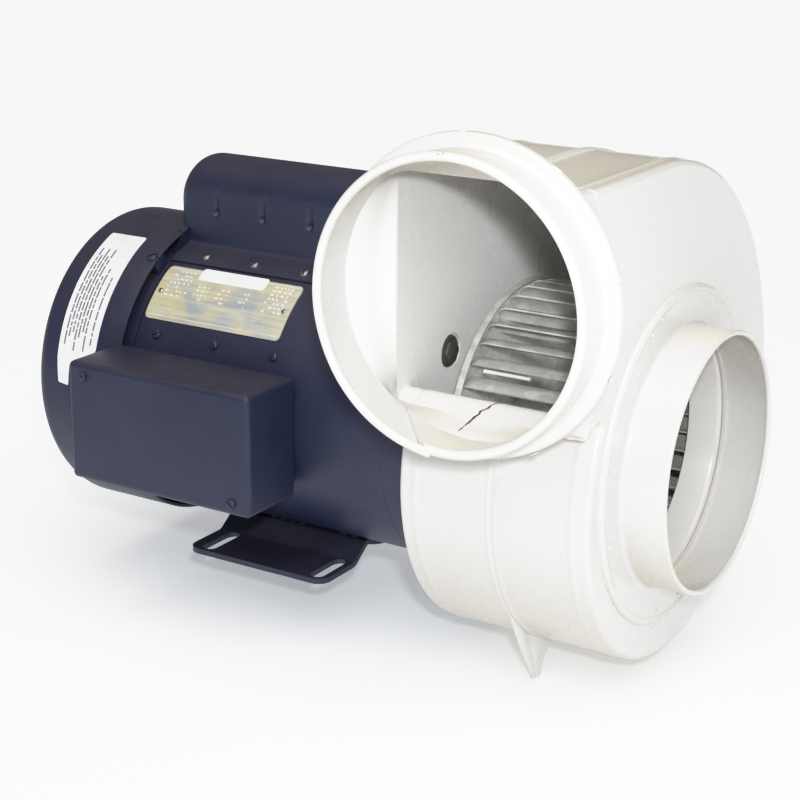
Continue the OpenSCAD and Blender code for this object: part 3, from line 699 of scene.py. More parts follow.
def band_ring(name, section):
    """A closed section of (lift, y) carried round the scroll's outline, with its two ends capped."""
    rows = [scroll_outline(-lift, MOUTH_X - 0.3 * MM) for lift, _ in section]
    columns = len(rows[0])
    verts = [Vector((p.x, y, p.y)) for row, (_, y) in zip(rows, section) for p in row]
    faces = grid_faces(len(rows), columns, wrap_rows=True)
    faces += [tuple(i * columns for i in range(len(rows)))]
    faces += [tuple(i * columns + columns - 1 for i in reversed(range(len(rows))))]
    return make(name, verts, faces)


def seam():
    """The two halves' flanges, one lapped over the other, with a weld run along the inlet side."""
    lift = 1.3 * MM
    half = 2.5 * MM
    sunk = -0.4 * MM
    corners = [(sunk, SEAM_Y - half), (lift, SEAM_Y - half), (lift * 0.3, SEAM_Y + 0.1 * MM),
               (lift, SEAM_Y + half), (sunk, SEAM_Y + half)]
    section = rounded(corners, [0, 0.7 * MM, 0.8 * MM, 0.7 * MM, 0], 4)
    finish_piece(band_ring("seam_flange", section), "housing_paint", replaces=["seam_band"], sharp=60)

    # The weld run: a rippled bead of uneven width
    path = scroll_outline(0, MOUTH_X - 1 * MM)
    lengths = outline_lengths(path)
    sides = 7
    ripple = 2.6 * MM
    stations = int(lengths[-1] / (0.7 * MM))
    verts = []
    for k in range(stations):
        s = lerp(2 * MM, lengths[-1] - 2 * MM, k / (stations - 1))
        p, heading = along_path(path, lengths, s)
        out = Vector((heading.y, -heading.x))
        uneven = noise.noise(Vector((s * 90, 1.7, 0)))
        wave = 0.5 + 0.5 * math.cos(TAU * s / ripple + 2 * uneven)
        size = (0.95 + 0.45 * uneven + 0.28 * wave) * MM
        if noise.noise(Vector((s * 14, 7.3, 2))) < -0.22:
            size *= 0.35
        y_mid = SEAM_Y + half + (0.35 + 0.5 * noise.noise(Vector((s * 40, 3, 9)))) * MM
        for q in range(sides):
            a = TAU * q / sides
            lifted = p + out * (size * 0.62 * math.sin(a))
            verts.append(Vector((lifted.x, y_mid + size * math.cos(a), lifted.y)))
    finish_piece(make("seam_weld", verts, tube_faces(stations, sides)), "housing_paint", sharp=75)


def seam_point():
    """The pointed fold under the scroll: two curved flanks with a crease down the middle.

    Its two edges are curves with three control points, in mm from the shaft in X and Z."""
    left = [Vector((21, -108.5)), Vector((38.5, -113)), Vector((41.2, -126.8))]
    right = [Vector((83, -69)), Vector((70, -96)), Vector((50.3, -125.6))]
    rows, columns = 22, 13

    def bend(points, t):
        return points[0] * (1 - t) ** 2 + points[1] * 2 * t * (1 - t) + points[2] * t ** 2

    verts = []
    for side in (1, -1):
        for i in range(rows):
            t = i / (rows - 1)
            a, b = bend(left, t), bend(right, t)
            for j in range(columns):
                u = j / (columns - 1)
                p = a.lerp(b, u)
                edge = (4 * u * (1 - u)) ** 0.45
                crease = 1 - 0.75 * math.exp(-((u - 0.62) / 0.09) ** 2)
                lump = 0.35 * noise.noise(Vector((p.x * 0.25, p.y * 0.25, side * 4)))
                depth = (0.35 + 1.25 * edge * crease * (1 - 0.35 * t) + lump * edge) * MM
                verts.append(Vector((p.x * MM, SEAM_Y + side * depth, SHAFT_Z + p.y * MM)))
    count = rows * columns
    faces = grid_faces(rows, columns)
    faces += [tuple(count + i for i in reversed(face)) for face in grid_faces(rows, columns)]
    rim = list(range(columns)) + [i * columns + columns - 1 for i in range(1, rows)]
    rim += [(rows - 1) * columns + j for j in reversed(range(columns - 1))]
    rim += [i * columns for i in reversed(range(1, rows - 1))]
    for a, b in zip(rim, rim[1:] + rim[:1]):
        faces.append((a, b, count + b, count + a))
    finish_piece(make("seam_point", verts, faces), "housing_paint", replaces=["seam_lug"], sharp=60)


# ---------------------------------------------------------------- outlet

# How tightly the flare's section follows the mouth's corners: higher is sharper
CORNER_POWER = 40


def flare_blend(t):
    """How far the flare's section has gone from the mouth's shape to the collar's. Quickest at both ends."""
    return t + 0.06 * math.sin(TAU * t)


def outlet_flare():
    """The wall from the mouth's rectangle to the collar's circle, with soft folds at the corners."""
    half = (HOUSE_Y[1] - HOUSE_Y[0]) / 2
    top = ROOF_Z - OUTLET_C.z
    bottom = FLOOR_FOOT.y - OUTLET_C.z
    corners = [math.degrees(math.atan2(z, y)) % 360 for y in (half, -half) for z in (top, bottom)]
    angles = sorted({i * 3.0 for i in range(120)} | set(corners))
    x0, x1 = MOUTH_X - 0.5 * MM, OUTLET_X[0] + 1.0 * MM
    steps = 9
    verts = []
    for i in range(steps + 1):
        t = i / steps
        blend = flare_blend(t)
        for degrees in angles:
            a = math.radians(degrees)
            c, s = math.cos(a), math.sin(a)
            across = half / max(abs(c), 1e-4)
            upright = (top if s > 0 else -bottom) / max(abs(s), 1e-4)
            reach = (across ** -CORNER_POWER + upright ** -CORNER_POWER) ** (-1 / CORNER_POWER)
            r = lerp(reach - 0.1 * MM, OUTLET_R - 0.05 * MM, blend)
            verts.append(about_outlet(r, degrees, lerp(x0, x1, t)))
    obj = make("outlet_flare", verts, grid_faces(steps + 1, len(angles), wrap_columns=True))
    face_out(obj, (0, 0, 1))
    solid(obj, SHEET)
    finish_piece(obj, "housing_paint", replaces=["outlet_transition"], sharp=22)


def rolled_collar(name, profile, replaces, wobble=0.25 * MM, steps=240):
    """A strip rolled into a ring whose slanted end laps over its start, at the outlet's bottom.

    profile is a closed (radius, x) section. The lap is in degrees, and its slant in degrees per metre."""
    lap_angle = 263
    over = 2.4
    lift = 0.85 * MM
    slant = 0.8 / MM
    front = max(x for _, x in profile)
    verts = []
    for i in range(steps + 1):
        turn = i / steps
        for r, x in profile:
            degrees = lap_angle + (360 + over) * turn + slant * (x - front)
            a = math.radians(degrees)
            dent = wobble * noise.noise(Vector((math.cos(a) * 2, math.sin(a) * 2, 5)))
            verts.append(about_outlet(r + lerp(-lift, lift, turn) + dent, degrees, x))
    obj = make(name, verts, tube_faces(steps + 1, len(profile)))
    finish_piece(obj, "housing_paint", replaces=replaces, sharp=45)


def outlet_collar():
    """The collar tube with its wide rolled lip, and the shoulder ring at its root."""
    r = OUTLET_R - 0.75 * MM
    x0, x1 = OUTLET_X[0] + 0.5 * MM, OUTLET_X[1]
    lip = 2.4 * MM
    bead = arc((r - lip + 0.35 * MM, x1 - lip), lip, -40, 228, 26)
    behind = x1 - 2 * lip
    profile = [(r, x0), (r, behind), *bead, (r - SHEET, behind - 0.9 * MM), (r - SHEET, x0)]
    rolled_collar("outlet_tube", profile, ["outlet_collar"])

    back, front = OUTLET_X[0] - 0.2 * MM, OUTLET_X[0] + RING_W
    top = RING_R - 0.8 * MM
    corners = [(r - 1.2 * MM, back), (top, back), (top, front), (r + 1.2 * MM, front + 0.2 * MM),
               (r - 1.2 * MM, front + 2.4 * MM)]
    shoulder = rounded(corners, [0, 1.6 * MM, 2.3 * MM, 1.4 * MM, 0], 5)
    rolled_collar("outlet_shoulder", shoulder, ["outlet_ring"], 0.35 * MM)


def collar_nicks():
    """Dark nicks in the enamel at the top of the outlet, where the rolled strip was tacked."""
    # Each nick: its angle, how far in from the collar's outside, its length and its width in mm
    spots = ((98.0, 2.6, 1.3, 0.6), (95.0, 3.4, 0.9, 0.7), (93.0, 1.6, 0.5, 0.4),
             (88.5, 3.8, 1.8, 0.45), (91.0, 0.9, 0.4, 0.4))
    nicks = []
    for k, (degrees, inward, long, wide) in enumerate(spots):
        x = OUTLET_X[1] - (0.35 + 0.12 * (inward - 2) ** 2) * MM
        centre = about_outlet(OUTLET_R - inward * MM, degrees, x)
        size = (long * MM, wide * MM)
        nicks.append(blob(centre, (1, 0, 0), outlet_way(degrees + 90), size, 0.3 * MM, 300 + k))
    finish_piece(join("collar_nicks", nicks), "housing_paint", material=CHIP_AND_GAP_SHADE, sharp=80)


def seam_gap_shade():
    """A dark strip of painted shade in the open end of the halves' seam inside the throat, curling over the
    tongue.
    """
    verts = []
    path = scroll_outline(SHEET)[2 - OUTLINE_STEPS["floor"] - OUTLINE_STEPS["tongue"]:]
    low_lip = OUTLET_C.z - OUTLET_R + 0.7 * MM
    for k in range(1, 7):
        t = k / 8
        height = lerp(FLOOR_FOOT.y, low_lip, flare_blend(t)) + SHEET
        path.append(Vector((lerp(MOUTH_X, OUTLET_X[0] + MM, t), height)))
    lengths = outline_lengths(path)
    stations = 64
    for k in range(stations):
        t = k / (stations - 1)
        p, heading = along_path(path, lengths, t * lengths[-1])
        out = Vector((heading.y, -heading.x))
        width = 0.62 * math.sin(math.pi * t) ** 0.5 + 0.5 * noise.noise(Vector((t * 9, 2, 4)))
        width = max(width, 0.14) * MM
        waver = 0.9 * noise.noise(Vector((t * 12, 5, 1)))
        y_mid = SEAM_Y + (-9 + 15 * (1 - t) ** 2.4 + waver) * MM
        for dy, depth in ((-width, 0.5), (-width, -0.12), (width, -0.12), (width, 0.5)):
            q = p + out * depth * MM
            verts.append(Vector((q.x, y_mid + dy, q.y)))
    # Painted shade: this dark strip stands for the shadow inside the open seam.
    crack = make("seam_gap_shade", verts, tube_faces(stations, 4))
    finish_piece(crack, "housing_paint", material=CHIP_AND_GAP_SHADE, sharp=60)


# ---------------------------------------------------------------- inlet

def inlet_parts():
    """The inlet tube with its thin turned lip, and the spot-welded flange with a rolled-down edge."""
    r = INLET_R
    inner = r - SHEET
    under, seat = INLET_Y[0], INLET_Y[0] + FLANGE_T
    end = INLET_Y[1]
    lip = 1.5 * MM
    root_r = 2.6 * MM
    root = arc((r + root_r, seat + root_r), root_r, 270, 180, 5)
    bead = arc((r - lip, end - lip), lip, 0, 215, 18)
    sunk = seat - 0.2 * MM
    profile = [*root, *bead, (inner, end - 2 * lip - 0.6 * MM), (inner, sunk), (r, sunk)]
    tube = lathe("inlet_tube", profile)
    for v in tube.data.vertices:
        angle = math.atan2(v.co.z - SHAFT_Z, v.co.x)
        push = 0.35 * MM * noise.noise(Vector((math.cos(angle) * 1.6, math.sin(angle) * 1.6, 2)))
        v.co.x += push * math.cos(angle)
        v.co.z += push * math.sin(angle)
    finish_piece(tube, "housing_paint", replaces=["inlet_collar"], sharp=50)

    edge = FLANGE_R
    corners = [(inner, under), (inner, seat), (edge - 5 * MM, seat), (edge - 2.6 * MM, seat + 0.9 * MM),
               (edge - 0.4 * MM, under + FLANGE_T * 0.8), (edge, under)]
    outline = rounded(corners, [0, 0.2 * MM, 1.5 * MM, 1.4 * MM, 0.8 * MM, 0], 4)
    finish_piece(lathe("inlet_base", outline), "housing_paint", replaces=["inlet_flange"], sharp=40)


def inlet_cone():
    """The drawn cone that leads from the collar into the wheel's eye, with a rounded shoulder."""
    lo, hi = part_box("inlet_cone")
    wide = INLET_HOLE_R
    narrow = 64 * MM
    t = 1.2 * MM
    lip_r = (hi.x - lo.x) / 2
    corners = [(lip_r, hi.y), (wide - 0.4 * MM, hi.y), (narrow, lo.y), (narrow + t, lo.y),
               (wide + t, hi.y - t), (lip_r, hi.y - t)]
    outline = rounded(corners, [0, 5 * MM, 0.5 * MM, 0.5 * MM, 5 * MM, 0], 6)
    finish_piece(lathe("inlet_nozzle", outline), "housing_paint", replaces=["inlet_cone"], sharp=40)


def blob(centre, out, along, size, height, seed, ring=10):
    """A low uneven dab on a surface: size is (along, across)."""
    out, along = Vector(out).normalized(), Vector(along).normalized()
    across = out.cross(along)
    verts = []
    levels = 5
    for i in range(levels):
        lift = math.sin(math.pi / 2 * i / (levels - 1))
        shrink = math.cos(math.pi / 2 * i / (levels - 0.55))
        for k in range(ring):
            a = TAU * k / ring
            rough = 1 + 0.3 * noise.noise(Vector((math.cos(a), math.sin(a), seed * 3.1)))
            verts.append(centre + along * (size[0] * shrink * rough * math.cos(a))
                         + across * (size[1] * shrink * rough * math.sin(a))
                         + out * (height * lift - 0.15 * height))
    faces = grid_faces(levels, ring, wrap_columns=True)
    faces += [tuple(reversed(range(ring))), tuple(range(len(verts) - ring, len(verts)))]
    return make("dab", verts, faces)


def weld_dabs():
    """Spot welds on the inlet flange, tack welds on the outlet's shoulder and spatter around them."""
    random.seed(7)
    facing = (0, 1, 0)
    sideways = (1, 0, 0)
    y = INLET_Y[0] + FLANGE_T
    dabs = []
    for k, degrees in enumerate((8, 16, 62, 70, 118, 165, 212, 226, 262, 282, 334, 342)):
        radius = FLANGE_R - (7 + random.uniform(-1.5, 1.5)) * MM
        size = (random.uniform(1.0, 2.6) * MM, 1.0 * MM)
        centre = about_shaft(radius, degrees, y)
        dabs.append(blob(centre, facing, radial(degrees + 90), size, 0.7 * MM, k))
    for k in range(9):
        degrees = 20 + 40 * k + random.uniform(-8, 8)
        centre = about_outlet(RING_R - 0.9 * MM, degrees, OUTLET_X[0] + RING_W * 0.5)
        size = (random.uniform(1.5, 3.5) * MM, 1.2 * MM)
        dabs.append(blob(centre, outlet_way(degrees), outlet_way(degrees + 90), size, 0.8 * MM, 20 + k))
    for k in range(34):
        degrees = random.uniform(0, 360)
        radius = random.uniform(FLANGE_R - 16 * MM, FLANGE_R + 6 * MM)
        lift = y if radius < FLANGE_R - 6 * MM else HOUSE_Y[1]
        centre = about_shaft(radius, degrees, lift)
        size = random.uniform(0.25, 0.6) * MM
        dabs.append(blob(centre, facing, sideways, (size, size), size * 0.8, 40 + k, 6))
    for k in range(26):
        inset = scroll_outline(FOLD_R + random.uniform(3, 26) * MM)
        p = inset[random.randrange(0, len(inset) - 20)]
        centre = Vector((p.x, HOUSE_Y[1], p.y))
        size = random.uniform(0.2, 0.5) * MM
        dabs.append(blob(centre, facing, sideways, (size, size), size * 0.8, 90 + k, 6))
    finish_piece(join("weld_dabs", dabs), "housing_paint", sharp=80)


# ---------------------------------------------------------------- motor body

def motor_shell():
    """The rolled shell with softened ends and a narrow step where each bell enters it."""
    r = SHELL_R
    y0, y1 = SHELL_Y
    inner = r - 2 * MM
    step, soft = 0.5 * MM, 0.7 * MM
    corners = [(inner, y0), (r - step, y0), (r, y0 + soft), (r, y1 - soft), (r - step, y1), (inner, y1)]
    profile = rounded(corners, [0, 0.2 * MM, 0.3 * MM, 0.3 * MM, 0.2 * MM, 0], 2)
    finish_piece(lathe("shell", profile, 192), "motor_paint", replaces=["motor_shell"], sharp=30)


def shroud():
    """The drawn cup over the cooling fan: a slotted back, a deep rounded corner and a rolled-in edge."""
    corner = 9 * MM
    r = SHROUD_R
    y0, y1 = SHROUD_Y
    steps = 144
    slot_pitch = 10.5 * MM
    slot_w = 6 * MM
    first_r = 18 * MM
    gap = 4 * MM
    centre = Vector((0, SHAFT_Z))
    holes = []
    for ring in range(5):
        inner = first_r + ring * slot_pitch
        outer = inner + slot_w
        clear_in = math.degrees(math.asin(gap / inner))
        clear_out = math.degrees(math.asin(gap / outer))
        count = 5 + 2 * ring
        for base in range(0, 360, 60):
            loop = arc(centre, outer, base + clear_out, base + 60 - clear_out, count)
            loop += arc(centre, inner, base + 60 - clear_in, base + clear_in, count)
            radii = [0] * len(loop)
            for i in (0, count, count + 1, 2 * count + 1):
                radii[i] = 1.2 * MM
            holes.append(rounded(loop, radii, 2))
    flat, faces = flat_sheet(circle_points(centre, r - corner, steps), holes)
    verts = [Vector((p.x, y0, p.y)) for p in flat]
    first = len(verts)
    section = arc((r - corner, y0 + corner), corner, -90, 0, 9)
    section += [(r, lerp(y0 + corner, y1 - 1.5 * MM, i / 3)) for i in range(1, 4)]
    section.append((r - 0.3 * MM, y1 - 0.4 * MM))
    verts += [about_shaft(rad, 360 * i / steps, y) for i in range(steps) for rad, y in section]
    faces += [tuple(first + i for i in face) for face in grid_faces(steps, len(section), wrap_rows=True)]
    obj = face_out(make("cooling_shroud", verts, faces), (0, -1, 0))
    solid(obj, 1.6 * MM)
    finish_piece(obj, "motor_paint", replaces=["fan_shroud"], sharp=45)


def pan_heads(name, node, spots, radius, height, slot="fastener", material=None):
    """Slotted pan-head screws at (place, outward direction) spots."""
    root = -1.2 * MM
    profile = [(0.0, root), (radius * 0.5, root), (radius * 0.5, 0.0), (radius, 0.0),
               (radius * 0.98, height * 0.45), (radius * 0.8, height * 0.85), (radius * 0.45, height),
               (0.0, height)]
    steps = 28
    heads = []
    for k, (place, out) in enumerate(spots):
        turn = Vector(out).normalized().to_track_quat("Z", "Y").to_matrix()
        verts = [place + turn @ Vector((rad * math.cos(TAU * i / steps), rad * math.sin(TAU * i / steps), h))
                 for i in range(steps) for rad, h in profile]
        head = make("head", verts, grid_faces(steps, len(profile), wrap_rows=True))
        clean(head, 1e-7, 1e-8)
        box = box_mesh("slot", Vector((0, 0, height)), Vector((radius * 2.4, radius * 0.26, height * 0.9)))
        box.data.transform(Matrix.Rotation(0.6 + 1.9 * k, 4, "Z"))
        box.data.transform(turn.to_4x4())
        box.data.transform(Matrix.Translation(place))
        cut(head, box)
        heads.append(head)
    finish_piece(join(name, heads), slot, replaces=[node], sharp=40, material=material)


def box_mesh(name, centre, size):
    """A plain box, from its centre and its three sides."""
    mesh = bmesh.new()
    bmesh.ops.create_cube(mesh, size=1.0)
    bmesh.ops.scale(mesh, vec=size, verts=mesh.verts)
    bmesh.ops.translate(mesh, vec=centre, verts=mesh.verts)
    obj = make(name, [], [])
    mesh.to_mesh(obj.data)
    mesh.free()
    return obj


def radial(degrees):
    """The direction at an angle above +X, away from the shaft."""
    a = math.radians(degrees)
    return Vector((math.cos(a), 0, math.sin(a)))


def screws():
    """Every slotted head: on the capacitor cover, the box, the shroud and the nameplate."""
    cap_spots = [(about_shaft(CAP_FLANGE_R, angle, (-67 + 35 * i) * MM), radial(angle))
                 for i in range(4) for angle in (66.5, 113.5)]
    pan_heads("cover_screws", "capacitor_cover_screws", cap_spots, 3.0 * MM, 1.9 * MM)
    rivets = [(about_shaft(SHELL_R, 27.5, (-73.5 + 41.3 * i) * MM), radial(27.5)) for i in range(3)]
    pan_heads("shell_screws", "box_rivets", rivets, 2.9 * MM, 1.7 * MM, "motor_paint")
    shroud_spots = [(about_shaft(SHROUD_R, a, -94.5 * MM), radial(a)) for a in (57, 147, 237, 327)]
    pan_heads("shroud_edge_screws", "shroud_screws", shroud_spots, 3.4 * MM, 1.9 * MM, "motor_paint")
    front = high("terminal_box_cover").x
    lo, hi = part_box("terminal_box_screws")
    r = 4 * MM
    box_spots = [(Vector((front, lo.y + r, hi.z - r)), (1, 0, 0)),
                 (Vector((front, hi.y - r, lo.z + r)), (1, 0, 0))]
    pan_heads("box_screws", "terminal_box_screws", box_spots, 2.9 * MM, 1.9 * MM, "motor_paint")
    pins = [(about_shaft(SHELL_R + 0.6 * MM, 46, y * MM), radial(46)) for y in (-82, 5.5)]
    pan_heads("plate_pins", "nameplate_pins", pins, 1.6 * MM, 1.0 * MM, material=MATERIALS["bright_steel"])


def face_bolt_heads():
    """Hexagon heads with a washer face, seen through the access holes."""
    root = low("face_bolts").y
    seat = high("face_bolts").y - 3.0 * MM
    face = seat + 1.0 * MM
    bolts = []
    for k in range(4):
        spot = radial(45 + 90 * k) * BOLT_CIRCLE_R
        shank = cylinder("shank", 4.7 * MM, root, seat + 0.1 * MM, spot.x, spot.z, 32)
        washer = cylinder("washer", 8.8 * MM, seat, face, spot.x, spot.z, 40)
        head = cylinder("hexagon", 6.9 * MM, face, face + 2.0 * MM, spot.x, spot.z, 6)
        bevel(head, 0.7 * MM, 2, 30)
        bevel(washer, 0.3 * MM, 2, 30)
        bolts += [shank, washer, head]
    obj = join("face_bolt_heads", bolts)
    finish_piece(obj, "fastener", replaces=["face_bolts"], material=ZINC_HEAD, sharp=30)


# ---------------------------------------------------------------- foot

def foot():
    """The folded sheet foot: flat wings, a fold up to the saddle, slots, round corners and pressed ribs."""
    lo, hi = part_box("motor_foot")
    t = 3.2 * MM
    y0, y1 = lo.y, hi.y
    edge = hi.x
    fold = 46.5 * MM
    saddle_r = SHELL_R + t / 2
    centre = Vector((0, SHAFT_Z))

    # The sheet's middle line in X and Z, from the wing's edge to the middle of the saddle
    leave = math.radians(23)
    start = centre + Vector((math.sin(leave), -math.cos(leave))) * saddle_r
    line = [Vector((edge, t / 2)), Vector((fold, t / 2)), start]
    line += arc(centre, saddle_r, -90 + 21, -90, 8)
    soft = rounded([*line, Vector((0, -1))], [0, 7 * MM, 5 * MM] + [0] * 10, 7)[:-1]
    lengths = outline_lengths(soft)
    total = lengths[-1]

    def place(s, y, sign):
        s = max(0.0, min(total, s))
        p, _ = along_path(soft, lengths, s)
        lift = 0.0
        if s < edge - fold + 18 * MM:
            rib = math.exp(-((y - 19 * MM) / (4.5 * MM)) ** 2) * math.exp(-((s - 24 * MM) / (15 * MM)) ** 2)
            dimple = math.exp(-((y - 30 * MM) / (5 * MM)) ** 2 - ((s - 38 * MM) / (4 * MM)) ** 2)
            lift = (1.5 * rib + 1.0 * dimple) * MM
        return Vector((sign * p.x, y, p.y + lift))

    outline = rounded([(0, y0), (0, y1), (total, y1), (total, y0)], [9 * MM, 9 * MM, 0, 0], 8)
    slot_r = 4.35 * MM
    slot_half = 15 * MM - slot_r
    slot_mid = edge - 61.9 * MM
    holes = [arc((slot_mid + slot_half, y), slot_r, -90, 90, 10)
             + arc((slot_mid - slot_half, y), slot_r, 90, 270, 10) for y in (-38.1 * MM, 38.1 * MM)]
    across = [total * k / 40 for k in range(1, 40)]
    along = [lerp(y0, y1, k / 24) for k in range(1, 24)]
    lines = [((s, y0 - MM), (s, y1 + MM)) for s in across] + [((-MM, y), (total + MM, y)) for y in along]
    flat, faces = flat_sheet(outline, holes, lines)
    wings = [make("wing", [place(p.x, p.y, sign) for p in flat], faces) for sign in (1, -1)]
    obj = face_out(join("foot_sheet", wings), (1, 0, -0.2), 1e-5)
    solid(obj, t, 0.0)
    finish_piece(obj, "motor_paint", replaces=["motor_foot"], sharp=40)

    # The weld dashes where the fold meets the shell
    random.seed(3)
    dabs = []
    for k, y in enumerate((-19, -12.5, -6, 1.5, 30, 38)):
        for angle, long, seed in ((-65.5, random.uniform(1.6, 3.2), k), (245.5, 2.4, k + 9)):
            spot = about_shaft(SHELL_R + 0.4 * MM, angle, y * MM)
            dabs.append(blob(spot, radial(angle), (0, 1, 0), (long * MM, 1.3 * MM), 0.9 * MM, seed))
    finish_piece(join("foot_welds", dabs), "motor_paint", sharp=80)


# ---------------------------------------------------------------- capacitor cover

def capacitor_cover():
    """The drawn cover: half-round top, rounded ends, flanges on the shell and grooves in its walls."""
    lo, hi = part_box("capacitor_cover")
    y0, y1 = lo.y, hi.y
    half = 21 * MM
    top = hi.z - SHAFT_Z
    foot_angle = 62.0
    flange_y = -89.5 * MM
    over_shroud_r = SHROUD_R + 0.6 * MM
    end_plan_r, end_top_r = 12 * MM, 20 * MM
    groove_first, groove_pitch = -69 * MM, 33.4 * MM
    groove_z = (99 * MM, 113.5 * MM)
    fillet = 2.6 * MM
    walls = 40

    def inset(e, radius):
        """How far the rounded end has drawn in at a distance e from it."""
        return 0.0 if e >= radius else radius - math.sqrt(max(0.0, radius ** 2 - (radius - e) ** 2))

    def groove(y, z):
        """Depth of the pressed grooves at a place on the wall."""
        depth = 0.0
        for k in range(4):
            across = (y - groove_first - groove_pitch * k) / (1.7 * MM)
            if abs(across) < 3:
                run = 1 / (1 + math.exp(-(z - groove_z[0]) / (0.5 * MM)))
                run *= 1 / (1 + math.exp((z - groove_z[1]) / (2.2 * MM)))
                tip = math.exp(-((z - groove_z[0] - 1.6 * MM) / (1.8 * MM)) ** 2)
                depth += math.exp(-across ** 2) * (1.5 * run + 1.3 * tip) * MM
        return depth

    ends = [e * MM for e in (0, 0.4, 1, 2, 3.5, 5, 7, 9, 11, 13, 16, 19, 22)]
    clear = 23 * MM
    stations = {y0 + e for e in ends} | {y1 - e for e in ends} | {flange_y - 0.05 * MM, flange_y}
    stations |= {lerp(y0 + clear, y1 - clear, k / 150) for k in range(151)}
    verts = []
    for y in sorted(stations):
        e = min(y - y0, y1 - y)
        w = half - inset(e, end_plan_r)
        crown = top - inset(e, end_top_r)
        row = []
        seat_r = CAP_FLANGE_R if y >= flange_y else over_shroud_r
        wall_angle = math.degrees(math.acos(w / seat_r))
        out_angle = foot_angle if y >= flange_y else wall_angle - 3.4
        for k in range(6):
            a = lerp(out_angle, wall_angle - 2.6, k / 5)
            row.append(Vector((seat_r * math.cos(math.radians(a)), seat_r * math.sin(math.radians(a)))))
        base = math.sqrt(seat_r ** 2 - w ** 2)
        row += [Vector((w + fillet * (1 - s) ** 2 * 0.9, base + fillet * s ** 2)) for s in (0.35, 0.7, 1.0)]
        spring = crown - w
        for k in range(1, walls + 1):
            z = lerp(base + fillet, spring, k / walls)
            row.append(Vector((w - groove(y, z), z)))
        row += arc((0, spring), w, 0, 90, 14)[1:]
        mirrored = [Vector((-p.x, p.y)) for p in reversed(row[:-1])]
        for p in row + mirrored:
            verts.append(Vector((p.x, y, SHAFT_Z + p.y)))
    columns = len(verts) // len(stations)
    faces = grid_faces(len(stations), columns)
    start = 8
    for base_index in (0, (len(stations) - 1) * columns):
        count = columns - 2 * start
        for k in range(count // 2):
            a, b = base_index + start + k, base_index + columns - 1 - start - k
            if b - a > 2:
                faces.append((a, a + 1, b - 1, b))
            elif b - a == 2:
                faces.append((a, a + 1, b))
    obj = face_out(make("capacitor_hood", verts, faces), (0, 0, 1))
    solid(obj, 1.0 * MM)
    finish_piece(obj, "motor_paint", replaces=["capacitor_cover"], sharp=50)


# ---------------------------------------------------------------- terminal box

def terminal_box():
    """The deep drawn cover over the terminals, its back edges cut to the shell and the shroud."""
    lo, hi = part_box("terminal_box_cover")
    middle, size = (lo + hi) / 2, hi - lo
    wall = 1.6 * MM
    past = 5 * MM
    obj = box_mesh("terminal_hood", middle, size)
    bevel(obj, 3.4 * MM, 5, 30)
    apply_modifiers(obj)
    back = box_mesh("back", Vector((lo.x, middle.y, middle.z)), Vector((20 * MM, 0.3, 0.3)))
    inner = box_mesh("inner", middle - Vector((wall, 0, 0)), size - Vector((0, 2 * wall, 2 * wall)))
    bevel(inner, 2.2 * MM, 4, 30)
    apply_modifiers(inner)
    cut(obj, inner)
    cut(obj, back)
    cut(obj, cylinder("shell_cut", SHELL_R + 0.05 * MM, lo.y - past, hi.y + past))
    cut(obj, cylinder("shroud_cut", SHROUD_R + 0.25 * MM, lo.y - past, SHROUD_Y[1]))
    finish_piece(obj, "motor_paint", replaces=["terminal_box_cover"], sharp=35)


# ---------------------------------------------------------------- plates and labels

def curved_patch(name, outline, radius, thickness, step=2.0):
    """A plate on a cylinder about the shaft. The outline is in (y in mm, degrees)."""
    mid_r = radius / MM
    flat = [Vector((y, math.radians(a) * mid_r)) for y, a in outline]
    lo_a, hi_a = min(p.y for p in flat), max(p.y for p in flat)
    lo_y, hi_y = min(p.x for p in flat), max(p.x for p in flat)
    rows = int((hi_a - lo_a) / step)
    levels = [lerp(lo_a, hi_a, k / rows) for k in range(1, rows)]
    points, faces = flat_sheet(flat, [], [((lo_y - 1, v), (hi_y + 1, v)) for v in levels])
    obj = make(name, [about_shaft(radius, math.degrees(p.y / mid_r), p.x * MM) for p in points], faces)
    first = obj.data.vertices[0].co
    face_out(obj, first - Vector((0, first.y, SHAFT_Z)))
    return solid(obj, thickness, 1.0)


def ruled(name, y, angle, radius, thickness, step=1.0):
    """A plain bar on a cylinder, between two stations in mm and two angles."""
    corners = [(y[0], angle[0]), (y[1], angle[0]), (y[1], angle[1]), (y[0], angle[1])]
    return curved_patch(name, corners, radius, thickness, step)


